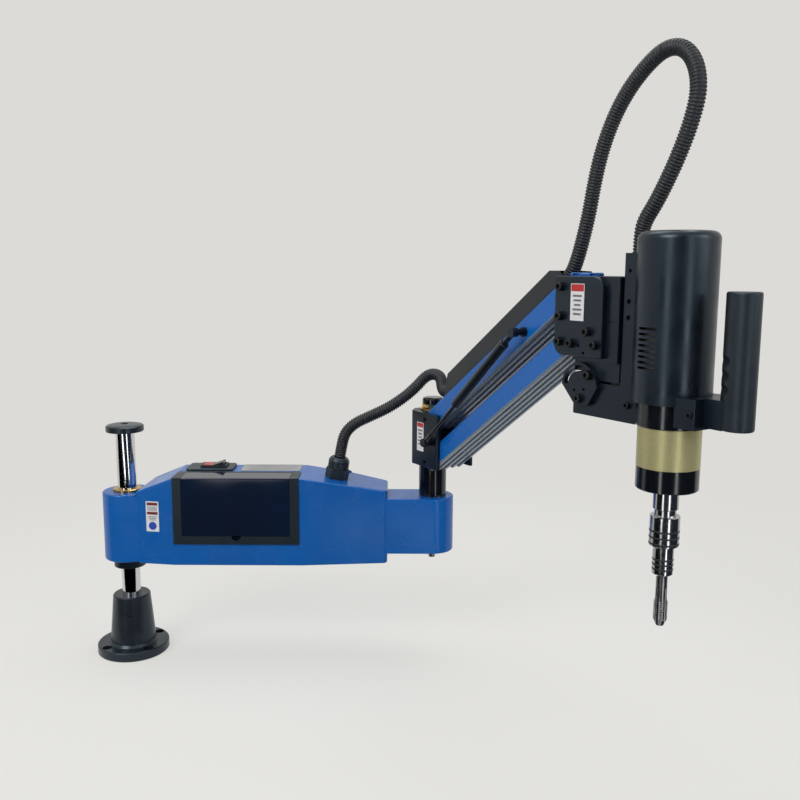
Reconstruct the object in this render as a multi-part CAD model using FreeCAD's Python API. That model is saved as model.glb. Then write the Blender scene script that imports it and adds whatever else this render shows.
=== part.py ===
import FreeCAD, Part
import math
import os

Vector = FreeCAD.Vector

# Arm tapping machine, in millimetres.
# Row frame: +Z up, origin on the post axis at the underside of the base flange, +X towards the elbow axis.
# Arm frame: origin on the elbow axis, +X along the arm, +Y to its left; "reach" is a place along that X.

# ---------------------------------------------------------------- clearances
running_fit = 0.05
joint_gap = 0.3
plate_gap = 0.5

# ---------------------------------------------------------------- base and post
flange_diameter = 135.0
flange_thickness = 18.0
flange_edge_round = 2.0
bolt_circle_diameter = 112.0
bolt_hole_diameter = 11.0
bolt_counterbore_diameter = 18.0
bolt_counterbore_depth = 9.0
bolt_count = 4
cone_foot_diameter = 92.0
cone_foot_rise = 5.0
cone_lower_diameter = 86.0
cone_top_diameter = 70.0
cone_top_height = 115.0
post_diameter = 35.0
post_foot_height = 2.0
post_top_height = 436.0
cap_diameter = 70.0
cap_rim_height = 10.0
cap_dome_height = 4.0
cap_socket_diameter = 14.0
cap_socket_depth = 2.5

# ---------------------------------------------------------------- stop ring
ring_diameter = 60.0
ring_height = 17.5
ring_split = 3.0
ring_screw_diameter = 6.0
ring_screw_head_diameter = 10.0
ring_screw_length = 24.0

# ---------------------------------------------------------------- housing arm
housing_bottom = 190.0
collar_top = 321.0
collar_radius = 46.0
collar_bush_diameter = 43.0
collar_bush_length = 32.0
collar_flange_diameter = 53.0
collar_flange_height = 5.0
elbow_x = 586.0
box_top = 357.0
box_left = 28.0
box_left_back = 38.0
box_left_top = 328.0
box_shoulder_x = 100.0
box_slope_x = 340.0
box_right = 500.0
box_right_top = 331.0
box_front_left = 46.0
box_front = 57.0
box_front_right = 41.0
box_back_left = 60.0
box_back = 64.0
box_back_right = 44.0
box_wall = 4.0
box_plan_round = 8.0
box_rim_round = 3.0
block_radius = 40.0
block_bottom = 208.0
block_top = 315.0
block_rim_round = 3.0
cavity_left = 64.0
cavity_right = 470.0

# ---------------------------------------------------------------- rear cover
cover_left = 90.0
cover_right = 420.0
cover_low = 208.0
cover_high = 338.0
cover_thickness = 2.5
cover_lip = 8.0
cover_window_margin = 10.0

# ---------------------------------------------------------------- display
display_left = 101.0
display_right = 335.0
display_low = 232.0
display_back = 5.0
display_stand_out = 3.0
display_rise = 2.0
display_wall = 3.0
display_side_strip = 16.0
display_chin = 16.0
display_fit = 0.3
screen_margin = 4.0
screen_depth = 12.0
screen_setback = 8.0
flip_thickness = 2.5
flip_hinge_inset = 6.0
flip_trunnion_radius = 2.0
flip_trunnion_length = 5.0
notch_radius = 9.0

# ---------------------------------------------------------------- power switch
switch_left = 112.0
switch_right = 202.0
switch_front = 2.0
switch_depth = 56.0
switch_plate_height = 5.0
switch_round = 8.0
rocker_centre_x = 163.0
rocker_length = 42.0
rocker_depth = 24.0
rocker_pivot_height = 4.0
rocker_radius = 21.0
rocker_tilt = 8.0
rocker_top = 9.0
rocker_collar = 4.0
rocker_collar_height = 4.0
rocker_trunnion_radius = 2.0

# ---------------------------------------------------------------- electrics in the housing
supply_size = (120.0, 36.0, 96.0)
supply_left = 110.0
driver_size = (84.0, 48.0, 100.0)
driver_left = 345.0
inlet_size = (30.0, 28.0, 23.0)
inlet_x = 448.0
inlet_height = 250.0
inlet_cavity = (20.0, 16.0, 13.0)

# ---------------------------------------------------------------- hose gland on the housing
gland_x = 402.0
gland_hex_flats = 40.0
gland_hex_height = 19.0
gland_nut_diameter = 40.0
gland_nut_height = 22.0
gland_spigot_diameter = 32.0
gland_spigot_length = 14.0
hose_diameter = 22.0
hose_bore = 17.0

# ---------------------------------------------------------------- elbow
swing_at_rest = -57.0
column_diameter = 52.0
column_top = 380.0
journal_diameter = 30.0
elbow_bush_diameter = 38.0
elbow_bush_length = 28.0
elbow_flange_diameter = 50.0
elbow_flange_height = 1.5
retainer_diameter = 44.0
retainer_thickness = 5.0
retainer_pocket = 8.0
retainer_screw_diameter = 10.0
retainer_head_diameter = 14.0
retainer_head_height = 18.0
retainer_screw_length = 20.0
head_shaft_diameter = 25.0
head_height = 101.0
head_half_width = 42.0
head_front = 71.0
head_rear = 27.0
head_rear_half_width = 24.0
head_shoulder = 9.0
head_slot_start = 16.0
head_round = 3.0
nut_flange_diameter = 50.0
nut_flange_height = 2.5
nut_flats = 36.0
nut_height = 10.0
cap_knob_diameter = 41.0
cap_knob_height = 13.0

# ---------------------------------------------------------------- parallelogram arm
lift_at_rest = 35.5
near_pin_reach = 33.0
lower_pin_height = 389.0
pin_spacing = 80.0
bar_length = 430.0
bar_half_width = 34.0
bar_above_pin_upper = 12.0
bar_below_pin_upper = 23.0
bar_above_pin_lower = 15.0
bar_below_pin_lower = 19.0
bar_wall = 3.5
bar_floor = 6.0
bar_end_radius = 13.5
bar_edge_round = 2.5
bar_boss_radius = 11.0
groove_width = 9.0
groove_depth = 2.5
groove_count = 4
groove_pitch = 15.0
near_pin_diameter = 12.0
far_pin_diameter = 8.0
open_pin_clearance = 0.35
socket_depth = 4.0

cable_cover_height = 29.0
cable_cover_sheet = 1.6
cable_cover_start = 66.0
cable_cover_end = 430.0
cable_cover_start_slope = 33.0
cable_cover_end_slope = 18.0
cable_cover_end_rise = 15.0
cable_cover_inset = 1.0

# Places of the pins, worked out from the bars.
lift_angle = math.radians(lift_at_rest)
far_pin_reach = near_pin_reach + bar_length * math.cos(lift_angle)
lift_rise = bar_length * math.sin(lift_angle)
upper_pin_height = lower_pin_height + pin_spacing
far_lower_height = lower_pin_height + lift_rise
far_upper_height = upper_pin_height + lift_rise

# ---------------------------------------------------------------- gas spring
spring_plane = 57.0
spring_low_reach = 55.7
spring_low_drop = 37.6
spring_high_along = 315.1
spring_high_below = 6.9
spring_cylinder_diameter = 16.0
spring_cylinder_length = 172.0
spring_rod_diameter = 7.0
spring_wall = 1.8
spring_socket_diameter = 15.0
spring_socket_thickness = 12.0
spring_neck_length = 27.0
spring_neck_diameter = 9.0
stud_diameter = 10.0
stud_foot_diameter = 15.0
stud_foot_height = 5.0
rod_rear_length = 12.0
piston_diameter = 12.0
piston_length = 8.0

# ---------------------------------------------------------------- end link
plate_thickness = 8.0
plate_left = 13.0
plate_right = 83.0
link_top = far_upper_height + 15.3
plate_bottom = far_lower_height - 19.5
link_block_bottom = far_lower_height - 25.2
plate_top_round = 22.0
plate_low_round = 16.0
plate_small_round = 3.0
screw_head_diameter = 13.0
screw_head_height = 8.0
screw_diameter = 8.0
screw_length = 14.0
hex_socket_flats = 6.0
# Reach beyond the far pins and height above the lower one.
link_screws_front = ((0.0, 37.3), (24.0, -1.2), (56.0, 17.3), (71.0, -0.7))
plate_dowels = ((38.0, -3.7), (48.0, -13.7))
dowel_diameter = 4.5
block_start = 19.0
block_end = 106.0
block_half_width = 34.9
block_seam_height = far_lower_height + 33.3
block_seam = 1.2
link_low_half_width = 29.4
link_low_bottom = far_lower_height - 52.2
link_low_step = far_lower_height - 41.2
link_low_step_end = 57.0
web_half_height = 5.0
spacer_radius = 6.0
link_cap_start = 6.0
link_cap_end = 61.0
link_cap_width = 16.0
link_cap_thickness = 5.0
link_cap_slot_depth = 4.0
link_cap_slots = (14.0, 48.0)
link_cap_slot_length = 14.0

# ---------------------------------------------------------------- head tilt
tilt_reach = far_pin_reach + 36.9
tilt_height = far_lower_height - 63.7
tongue_half_width = 14.0
tongue_radius = 15.0
tilt_pin_diameter = 12.0
quadrant_radius = 35.0
quadrant_thickness = 8.0
quadrant_foot_width = 18.0
quadrant_foot_drop = 26.0
slot_radius = 27.0
slot_width = 8.6
slot_from = 40.0
slot_to = 168.0
lock_angle = 44.0
lock_head_diameter = 14.0

# ---------------------------------------------------------------- head
spindle_reach = tilt_reach + 136.0
carriage_rear = tilt_reach - 18.0
carriage_low = tilt_height - 41.5
carriage_top = tilt_height + 8.0
carriage_half_width = 30.0
carriage_screw_diameter = 6.0
carriage_screw_head_diameter = 10.0
carriage_screw_head_height = 5.0
carriage_screw_inset = 16.0
quadrant_screw_head_height = 6.0
small_screw_flats = 5.0
spine_rear = spindle_reach - 65.0
spine_front = spindle_reach - 30.0
spine_top = tilt_height + 191.0
spine_half_width = 30.0
spine_hole_depth = 5.0
spine_hole_inset = 10.5
spine_holes = ((24.0, 2.6), (65.5, 3.6), (87.5, 3.6))
port_block_rear = spine_rear - 10.7
port_block_half_width = 14.0
port_block_low = spine_top - 28.0
cover_radius = 53.0
cover_wall = 2.5
cover_bottom = tilt_height - 7.0
cover_top = tilt_height + 219.0
cover_round = 11.0
vent_count = 8
vent_low = cover_bottom + 46.0
vent_pitch = 7.4
vent_height = 3.4
vent_from = 76.0
vent_to = 108.0
motor_width = 64.0
motor_top = cover_top - 49.0
motor_flange_width = 68.0
motor_flange_height = 10.0
gearbox_ring_radius = 45.5
gearbox_ring_low = cover_bottom - 33.0
gear_housing_radius = 42.5
gear_housing_low = gearbox_ring_low - 55.5
nose_low = gear_housing_low - 31.5
nose_radius = 42.3
nose_wall = 6.0

# ---------------------------------------------------------------- handle
clamp_near = 36.0
clamp_far = 68.0
clamp_half_width = 37.0
clamp_low = gearbox_ring_low + 6.0
clamp_top = clamp_low + 40.0
clamp_screw_inset = 6.0
clamp_screw_diameter = 5.0
clamp_screw_head_diameter = 8.0
clamp_screw_head_height = 4.5
clamp_screw_flats = 4.0
handle_offset = 104.0
handle_arm_half_width = 19.0
handle_low = clamp_low + 3.0
handle_arm_top = clamp_top + 1.0
grip_long_radius = 22.0
grip_short_radius = 20.0
grip_top = handle_low + 173.5
grip_groove_radius = 9.5
grip_groove_depth = 2.8
grip_groove_low = handle_low + 52.0
grip_groove_pitch = 18.0
grip_groove_turn = 57.0
grip_groove_count = 3
button_diameter = 12.0
button_length = 9.0
button_stand_out = 3.0
button_travel = 2.5
start_button_height = grip_top - 25.5
reverse_button_height = grip_top - 49.5

# ---------------------------------------------------------------- spindle, chuck and tap
spindle_diameter = 35.0
sleeve_top = nose_low - 38.0
sleeve_bottom = sleeve_top - 43.0
sleeve_diameter = 41.0
sleeve_grooves = (4.0, 13.0, 22.0)
sleeve_groove_depth = 1.2
sleeve_groove_width = 2.6
chuck_core_diameter = 30.0
sleeve_travel = 6.0
collet_diameter = 28.8
collet_bottom = sleeve_bottom - 41.0
collet_grooves = (8.0, 15.0, 22.0)
tap_shank_diameter = 15.6
tap_square_width = 12.0
tap_thread_diameter = 19.0
tap_thread_top = collet_bottom - 34.0
tap_tip = tap_thread_top - 41.0
tap_point_length = 8.0
flute_count = 4
flute_radius = 4.2
thread_pitch = 2.5
thread_depth = 0.8

# ---------------------------------------------------------------- values worked out from the sizes above
post_radius = post_diameter / 2
head_bottom = column_top
head_top = head_bottom + head_height
plate_inner = bar_half_width + 1.0
plate_outer = plate_inner + plate_thickness


# ================================================================ helpers
def block(x0, x1, y0, y1, z0, z1):
    """Box between two corners."""
    return Part.makeBox(x1 - x0, y1 - y0, z1 - z0, Vector(x0, y0, z0))


def rod(radius, z0, z1, x=0.0, y=0.0):
    """Upright cylinder."""
    return Part.makeCylinder(radius, z1 - z0, Vector(x, y, z0))


def rod_y(radius, y0, y1, x, z):
    """Cylinder along Y."""
    return Part.makeCylinder(radius, y1 - y0, Vector(x, y0, z), Vector(0, 1, 0))


def rod_x(radius, x0, x1, y, z):
    """Cylinder along X."""
    return Part.makeCylinder(radius, x1 - x0, Vector(x0, y, z), Vector(1, 0, 0))


def turned(points):
    """Solid of revolution about Z from (radius, height) points."""
    wire = Part.makePolygon([Vector(r, 0, z) for r, z in points] + [Vector(points[0][0], 0, points[0][1])])
    return Part.Face(wire).revolve(Vector(0, 0, 0), Vector(0, 0, 1), 360)


def plan_prism(points, z0, z1):
    """Upright prism from (x, y) points."""
    wire = Part.makePolygon([Vector(x, y, z0) for x, y in points] + [Vector(points[0][0], points[0][1], z0)])
    return Part.Face(wire).extrude(Vector(0, 0, z1 - z0))


def side_prism(points, y0, y1):
    """Prism along Y from (x, z) points."""
    wire = Part.makePolygon([Vector(x, y0, z) for x, z in points] + [Vector(points[0][0], y0, points[0][1])])
    return Part.Face(wire).extrude(Vector(0, y1 - y0, 0))


def hexagon(flats, z0, z1):
    """Upright hexagonal prism on the Z axis."""
    corner = flats / 2 / math.cos(math.radians(30))
    points = [(corner * math.cos(math.radians(60 * k)), corner * math.sin(math.radians(60 * k))) for k in range(6)]
    return plan_prism(points, z0, z1)


def hex_socket_y(flats, y0, y1, x, z):
    """Hexagonal prism along Y, for the socket of a screw."""
    shape = hexagon(flats, 0, y1 - y0)
    shape.rotate(Vector(0, 0, 0), Vector(1, 0, 0), -90)
    shape.translate(Vector(x, y0, z))
    return shape


def rounded(shape, radius, chosen):
    """Fillet the edges for which chosen(edge) is true."""
    return shape.makeFillet(radius, [edge for edge in shape.Edges if chosen(edge)])


def is_upright(edge):
    """True for a straight edge along Z."""
    ends = edge.Vertexes
    return len(ends) == 2 and abs(ends[0].X - ends[1].X) < 1e-6 and abs(ends[0].Y - ends[1].Y) < 1e-6


def is_along_y(edge):
    """True for a straight edge along Y."""
    ends = edge.Vertexes
    return len(ends) == 2 and abs(ends[0].X - ends[1].X) < 1e-6 and abs(ends[0].Z - ends[1].Z) < 1e-6


def is_along_x(edge):
    """True for a straight edge along X."""
    ends = edge.Vertexes
    return len(ends) == 2 and abs(ends[0].Y - ends[1].Y) < 1e-6 and abs(ends[0].Z - ends[1].Z) < 1e-6


def at_height(edge, z):
    """True if the whole edge lies at height z."""
    box = edge.BoundBox
    return abs(box.ZMin - z) < 1e-6 and abs(box.ZMax - z) < 1e-6


def to_row(shape):
    """Place a shape of the arm frame in the row frame."""
    placed = shape.copy()
    placed.rotate(Vector(0, 0, 0), Vector(0, 0, 1), swing_at_rest)
    placed.translate(Vector(elbow_x, 0, 0))
    return placed


def to_bar(shape, pin_height):
    """Place a shape drawn along a level bar, from its near pin, in the arm frame."""
    placed = shape.copy()
    placed.rotate(Vector(0, 0, 0), Vector(0, 1, 0), -lift_at_rest)
    placed.translate(Vector(near_pin_reach, 0, pin_height))
    return placed


def save(node, shape):
    """Write one node."""
    shape.exportStep("parts/" + node + ".step")


def socket_screw_y(x, z, side, seat, length, diameter, head_diameter, head_height, flats):
    """Socket screw along Y: its head stands out of the face at y = side * seat."""
    head = rod_y(head_diameter / 2, 0, head_height, 0, 0)
    head = rounded(head, head_height / 10, lambda edge: abs(edge.BoundBox.YMax - head_height) < 1e-6
                   and abs(edge.BoundBox.YMin - head_height) < 1e-6)
    screw = head.fuse(rod_y(diameter / 2, -length, 0, 0, 0))
    screw = screw.cut(hex_socket_y(flats, head_height - socket_depth, head_height + 1, 0, 0))
    if side < 0:
        screw.rotate(Vector(0, 0, 0), Vector(0, 0, 1), 180)
    screw.translate(Vector(x, side * seat, z))
    return screw


# ================================================================ base
def make_base_flange():
    flange_radius = flange_diameter / 2
    shape = turned([
        (post_radius, 0), (flange_radius - flange_edge_round, 0), (flange_radius, flange_edge_round),
        (flange_radius, flange_thickness - flange_edge_round),
        (flange_radius - flange_edge_round, flange_thickness),
        (cone_foot_diameter / 2, flange_thickness),
        (cone_lower_diameter / 2, flange_thickness + cone_foot_rise),
        (cone_top_diameter / 2, cone_top_height - flange_edge_round),
        (cone_top_diameter / 2 - flange_edge_round, cone_top_height),
        (post_radius, cone_top_height)])
    for k in range(bolt_count):
        angle = math.radians(360.0 * (k + 0.5) / bolt_count)
        x = bolt_circle_diameter / 2 * math.cos(angle)
        y = bolt_circle_diameter / 2 * math.sin(angle)
        shape = shape.cut(rod(bolt_hole_diameter / 2, -1, flange_thickness + 1, x, y))
        pocket_floor = flange_thickness - bolt_counterbore_depth
        shape = shape.cut(rod(bolt_counterbore_diameter / 2, pocket_floor, cone_top_height, x, y))
    return shape


def make_post():
    return rod(post_radius, post_foot_height, post_top_height)


def make_post_cap():
    radius = cap_diameter / 2
    rim = post_top_height + cap_rim_height
    crown = rim + cap_dome_height
    shape = turned([(0, post_top_height), (radius - 1, post_top_height), (radius, post_top_height + 1), (radius, rim),
                    (radius * 0.93, rim + cap_dome_height * 0.5), (radius * 0.72, rim + cap_dome_height * 0.85),
                    (radius * 0.4, crown), (0, crown)])
    return shape.cut(rod(cap_socket_diameter / 2, crown - cap_socket_depth, crown + 1))


def make_stop_ring():
    top = housing_bottom - joint_gap
    low = top - ring_height
    radius = ring_diameter / 2
    bore = post_radius + running_fit
    shape = turned([(bore, low), (radius - 1, low), (radius, low + 1), (radius, top - 1), (radius - 1, top), (bore, top)])
    shape = shape.cut(block(-ring_split / 2, ring_split / 2, 0, radius + 1, low - 1, top + 1))
    middle = (low + top) / 2
    across = (bore + radius) / 2
    hole = rod_x(ring_screw_diameter / 2, -ring_screw_length / 2, ring_screw_length / 2 + radius, across, middle)
    pocket = rod_x(ring_screw_head_diameter / 2, ring_screw_length / 2 - ring_screw_diameter, radius, across, middle)
    return shape.cut(hole).cut(pocket)


def make_stop_ring_screw():
    middle = housing_bottom - joint_gap - ring_height / 2
    across = (post_radius + running_fit + ring_diameter / 2) / 2
    half = ring_screw_length / 2
    shank = rod_x(ring_screw_diameter / 2, -half, half - ring_screw_diameter, across, middle)
    head = rod_x(ring_screw_head_diameter / 2, half - ring_screw_diameter, half - 1, across, middle)
    return shank.fuse(head)


# ================================================================ housing arm
def box_plan(inset):
    """Plan of the housing box, drawn in by inset."""
    return [(box_left + inset, -box_front_left + inset), (box_shoulder_x, -box_front + inset),
            (box_slope_x, -box_front + inset), (box_right - inset, -box_front_right + inset),
            (box_right - inset, box_back_right - inset), (cover_right + cover_lip, box_back - inset),
            (cover_left - cover_lip, box_back - inset), (box_left_back + inset, box_back_left - inset)]


def box_profile(drop):
    """Side view of the space above the housing box, lowered by drop."""
    high = box_top + box_wall * 10
    return [(box_left - collar_radius, box_left_top - drop), (box_left, box_left_top - drop),
            (box_shoulder_x, box_top - drop), (box_slope_x, box_top - drop), (box_right, box_right_top - drop),
            (box_right + collar_radius, box_right_top - drop), (box_right + collar_radius, high),
            (box_left - collar_radius, high)]


def is_roof_rim(edge):
    """True for an edge around the roof of the housing box, its two cross creases left out."""
    box = edge.BoundBox
    crease = is_along_y(edge) and (abs(box.XMin - box_shoulder_x) < 1 or abs(box.XMin - box_slope_x) < 1)
    return box.ZMin > box_left_top - box_wall and not crease


def make_arm_shell():
    wide = box_front + box_back
    box = plan_prism(box_plan(0), housing_bottom, box_top)
    box = rounded(box, box_plan_round, is_upright)
    box = box.cut(side_prism(box_profile(0), -wide, wide))
    box = rounded(box, box_rim_round, is_roof_rim)
    box = rounded(box, block_rim_round, lambda edge: at_height(edge, housing_bottom))

    collar = rod(collar_radius, housing_bottom, collar_top)
    collar = rounded(collar, block_rim_round, lambda edge: len(edge.Vertexes) < 2)
    link = block(0, box_left + box_plan_round * 2, -collar_radius, collar_radius, housing_bottom + block_rim_round,
                 collar_top - block_rim_round)
    elbow = rod(block_radius, block_bottom, block_top, elbow_x)
    elbow = elbow.fuse(block(box_right - box_plan_round * 2, elbow_x, -block_radius, block_radius,
                             block_bottom, block_top)).removeSplitter()
    elbow = rounded(elbow, block_rim_round, lambda edge: at_height(edge, block_top) or at_height(edge, block_bottom))
    shape = box.fuse([collar, link, elbow])

    cavity = plan_prism([
        (cavity_left, -box_front_left + box_wall), (box_shoulder_x, -box_front + box_wall),
        (box_slope_x, -box_front + box_wall), (cavity_right, -box_front_right + box_wall * 1.5),
        (cavity_right, box_back_right - box_wall * 1.5), (cover_right + cover_lip, box_back - box_wall),
        (cover_left - cover_lip, box_back - box_wall), (cavity_left, box_back_left - box_wall * 1.5)],
        housing_bottom + box_wall, box_top)
    cavity = cavity.cut(side_prism(box_profile(box_wall), -wide, wide))
    shape = shape.cut(cavity)

    window = block(cover_left, cover_right, 0, wide, cover_low, cover_high)
    ledge = block(cover_left - cover_lip, cover_right + cover_lip, box_back - cover_thickness, wide,
                  cover_low - cover_lip, cover_high + cover_lip)
    shape = shape.cut(window.cut(block(0, box_right, -wide, 0, 0, box_top * 2))).cut(ledge)

    bay = block(display_left - display_fit, display_right + display_fit, -wide, -display_back + display_fit,
                display_low - display_fit, box_top * 2)
    shape = shape.cut(bay)

    bush = collar_bush_diameter / 2
    shape = shape.cut(rod(post_radius + box_wall, housing_bottom - 1, collar_top + 1))
    shape = shape.cut(rod(bush, housing_bottom - 1, housing_bottom + collar_bush_length))
    shape = shape.cut(rod(bush, collar_top - collar_bush_length, box_top * 2))
    shape = shape.cut(rod(collar_flange_diameter / 2 + plate_gap, collar_top, box_top * 2))
    shape = shape.cut(rod(journal_diameter / 2 + running_fit * 10, block_bottom - 1, block_top + 1, elbow_x))
    shape = shape.cut(rod(elbow_bush_diameter / 2, block_top - elbow_bush_length, block_top + 1, elbow_x))
    pocket_roof = block_bottom + retainer_pocket
    shape = shape.cut(rod(elbow_bush_diameter / 2, pocket_roof, pocket_roof + elbow_bush_length, elbow_x))
    shape = shape.cut(rod(retainer_diameter / 2 + 1, block_bottom - 1, pocket_roof, elbow_x))
    shape = shape.cut(gland_tilted(rod(gland_spigot_diameter / 2, -gland_spigot_length * 2, gland_spigot_length)))
    shape = shape.cut(block(switch_left + switch_round, switch_right - switch_round, switch_front + switch_round,
                            switch_front + switch_depth - switch_round, box_top - box_wall * 2, box_top * 2))
    shape = shape.cut(inlet_envelope(0))
    return shape


def gland_tilted(shape):
    """Place a shape drawn on Z at the gland seat, square to the sloping roof."""
    run = box_right - box_slope_x
    drop = box_top - box_right_top
    placed = shape.copy()
    placed.rotate(Vector(0, 0, 0), Vector(0, 1, 0), math.degrees(math.atan2(drop, run)))
    placed.translate(Vector(gland_x, 0, box_top - drop * (gland_x - box_slope_x) / run))
    return placed


def inlet_envelope(grow):
    """Space of the power inlet in the back wall of the housing."""
    across, deep, tall = inlet_size
    return block(inlet_x - across / 2 - grow, inlet_x + across / 2 + grow, box_back_right - deep, box_back * 2,
                 inlet_height - tall / 2 - grow, inlet_height + tall / 2 + grow)


def make_post_bushes():
    bore = post_radius + running_fit
    outer = collar_bush_diameter / 2
    low = turned([(bore, housing_bottom), (outer, housing_bottom), (outer, housing_bottom + collar_bush_length),
                  (bore, housing_bottom + collar_bush_length)])
    brim = collar_flange_diameter / 2
    crown = collar_top + collar_flange_height
    high = turned([(bore, collar_top - collar_bush_length), (outer, collar_top - collar_bush_length),
                   (outer, collar_top), (brim, collar_top), (brim, crown - 1), (brim - 1, crown), (bore, crown)])
    return Part.makeCompound([low, high])


def make_rear_cover():
    shape = block(cover_left - cover_lip, cover_right + cover_lip, box_back - cover_thickness, box_back,
                  cover_low - cover_lip, cover_high + cover_lip)
    shape = rounded(shape, box_wall, is_along_y)
    for x in (cover_left - cover_lip / 2, cover_right + cover_lip / 2):
        for z in (cover_low - cover_lip / 2, cover_high + cover_lip / 2):
            head = rod_y(cover_lip / 3, box_back - cover_thickness, box_back + 1.5, x, z)
            shape = shape.fuse(head)
    return shape


def make_display_frame():
    front = -box_front - display_stand_out
    top = box_top + display_rise
    shape = block(display_left, display_right, front, -display_back, display_low, top)
    shape = shape.cut(block(display_left + display_wall, display_right - display_wall, front + display_wall,
                            -display_back - display_wall, display_low + display_wall, top - display_wall))
    strip = display_side_strip
    window = block(display_left + strip, display_right - strip, front - 1, -display_back - flip_hinge_inset,
                   display_low + display_chin, top + 1)
    shape = shape.cut(window)
    middle = (display_left + display_right) / 2
    finger = rod_y(notch_radius, front - 1, front + display_wall + 1, middle, display_low + display_chin)
    shape = shape.cut(finger)
    hinge = rod_x(flip_trunnion_radius + running_fit, display_left + strip - flip_trunnion_length - joint_gap,
                  display_right - strip + flip_trunnion_length + joint_gap, hinge_y(), hinge_z())
    for x in (display_left + strip - flip_trunnion_length * 1.5, display_right - strip):
        shape = shape.fuse(block(x, x + flip_trunnion_length * 1.5, hinge_y() - flip_hinge_inset,
                                 hinge_y() + flip_hinge_inset / 2, hinge_z() - flip_hinge_inset, top))
    return shape.cut(hinge)


def hinge_y():
    """Y of the flip cover's hinge axis."""
    return -display_back - flip_hinge_inset * 2


def hinge_z():
    """Height of the flip cover's hinge axis."""
    return box_top + display_rise - flip_trunnion_radius * 2 - display_wall / 2


def make_display_screen():
    front = -box_front - display_stand_out + screen_setback
    return block(display_left + display_wall, display_right - display_wall, front, front + screen_depth,
                 display_low + display_wall, box_top + display_rise - display_wall - screen_margin * 2)


def make_display_cover():
    front = -box_front - display_stand_out
    top = box_top + display_rise
    gap = plate_gap
    left = display_left + display_side_strip + gap
    right = display_right - display_side_strip - gap
    back = hinge_y() + flip_trunnion_radius * 1.5
    low = display_low + display_chin + gap
    outer = block(left, right, front, back, low, top)
    outer = rounded(outer, flip_thickness, lambda edge: is_along_x(edge) and edge.BoundBox.YMax < front + 1
                    and edge.BoundBox.ZMin > top - 1)
    inner = block(left - 1, right + 1, front + flip_thickness, back + 1, low - 1, top - flip_thickness)
    shape = outer.cut(inner)
    rib = block(left, right, hinge_y() - flip_trunnion_radius, back, hinge_z() - flip_trunnion_radius, top)
    shape = shape.fuse(rib)
    reach = flip_trunnion_length
    shape = shape.fuse(rod_x(flip_trunnion_radius, left - gap - reach, right + gap + reach, hinge_y(), hinge_z()))
    return shape.removeSplitter()


def make_switch_base():
    top = box_top + switch_plate_height
    back = switch_front + switch_depth
    shape = block(switch_left, switch_right, switch_front, back, box_top, top)
    shape = rounded(shape, switch_round, is_upright)
    shape = rounded(shape, switch_plate_height / 3, lambda edge: at_height(edge, top))
    middle = switch_front + switch_depth / 2
    half_x = rocker_length / 2 + rocker_collar
    half_y = rocker_depth / 2 + rocker_collar
    collar = block(rocker_centre_x - half_x, rocker_centre_x + half_x, middle - half_y, middle + half_y,
                   box_top - box_wall * 3, top + rocker_collar_height)
    collar = rounded(collar, rocker_collar / 2, is_upright)
    shape = shape.fuse(collar)
    hole_x = rocker_length / 2 + plate_gap * 2
    hole_y = rocker_depth / 2 + plate_gap
    shape = shape.cut(block(rocker_centre_x - hole_x, rocker_centre_x + hole_x, middle - hole_y, middle + hole_y,
                            box_top - box_wall * 2, top + rocker_collar_height + 1))
    axle = rod_y(rocker_trunnion_radius + running_fit, middle - half_y, middle + half_y, rocker_centre_x,
                 box_top + rocker_pivot_height)
    return shape.cut(axle)


def make_power_rocker():
    middle = switch_front + switch_depth / 2
    half = rocker_length / 2 - 1
    floor = -rocker_pivot_height
    points = [(-half, floor), (half, floor), (half, rocker_top), (half * 0.3, rocker_top * 0.7),
              (0, rocker_top * 0.62), (-half * 0.3, rocker_top * 0.7), (-half, rocker_top)]
    shape = side_prism(points, -rocker_depth / 2, rocker_depth / 2)
    shape = rounded(shape, 1.0, lambda edge: is_along_y(edge) and edge.BoundBox.ZMin > rocker_top - 1)
    reach = rocker_depth / 2 + rocker_collar
    shape = shape.fuse(rod_y(rocker_trunnion_radius, -reach, reach, 0, 0))
    shape.rotate(Vector(0, 0, 0), Vector(0, 1, 0), -rocker_tilt)
    shape.translate(Vector(rocker_centre_x, middle, box_top + rocker_pivot_height))
    return shape


def make_power_supply():
    across, deep, tall = supply_size
    back = box_back - box_wall * 3
    low = housing_bottom + box_wall
    shape = block(supply_left, supply_left + across, back - deep, back, low, low + tall)
    return rounded(shape, 2.0, is_upright)


def make_servo_driver():
    across, deep, tall = driver_size
    back = box_back - box_wall * 3
    low = housing_bottom + box_wall
    fin_pitch = across / 6
    shape = block(driver_left, driver_left + across, back - deep, back, low, low + tall)
    for k in range(5):
        x = driver_left + fin_pitch * (k + 1)
        shape = shape.cut(block(x - fin_pitch / 4, x + fin_pitch / 4, back - fin_pitch, back + 1, low + fin_pitch,
                                low + tall + 1))
    return shape


def make_power_inlet():
    across, deep, tall = inlet_size
    shape = inlet_envelope(0).cut(block(0, elbow_x, box_back_right + inlet_rim(), box_back * 3, 0, box_top * 2))
    hole_x, hole_y, hole_z = inlet_cavity
    mouth = box_back_right + inlet_rim()
    return shape.cut(block(inlet_x - hole_x / 2, inlet_x + hole_x / 2, mouth - hole_y, mouth + 1,
                           inlet_height - hole_z / 2, inlet_height + hole_z / 2))


def inlet_rim():
    """How far the power inlet's mouth lies behind the housing's back corner."""
    return (box_back - box_back_right) * (box_right - inlet_x) / (box_right - cover_right - cover_lip) + 2.0


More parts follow.
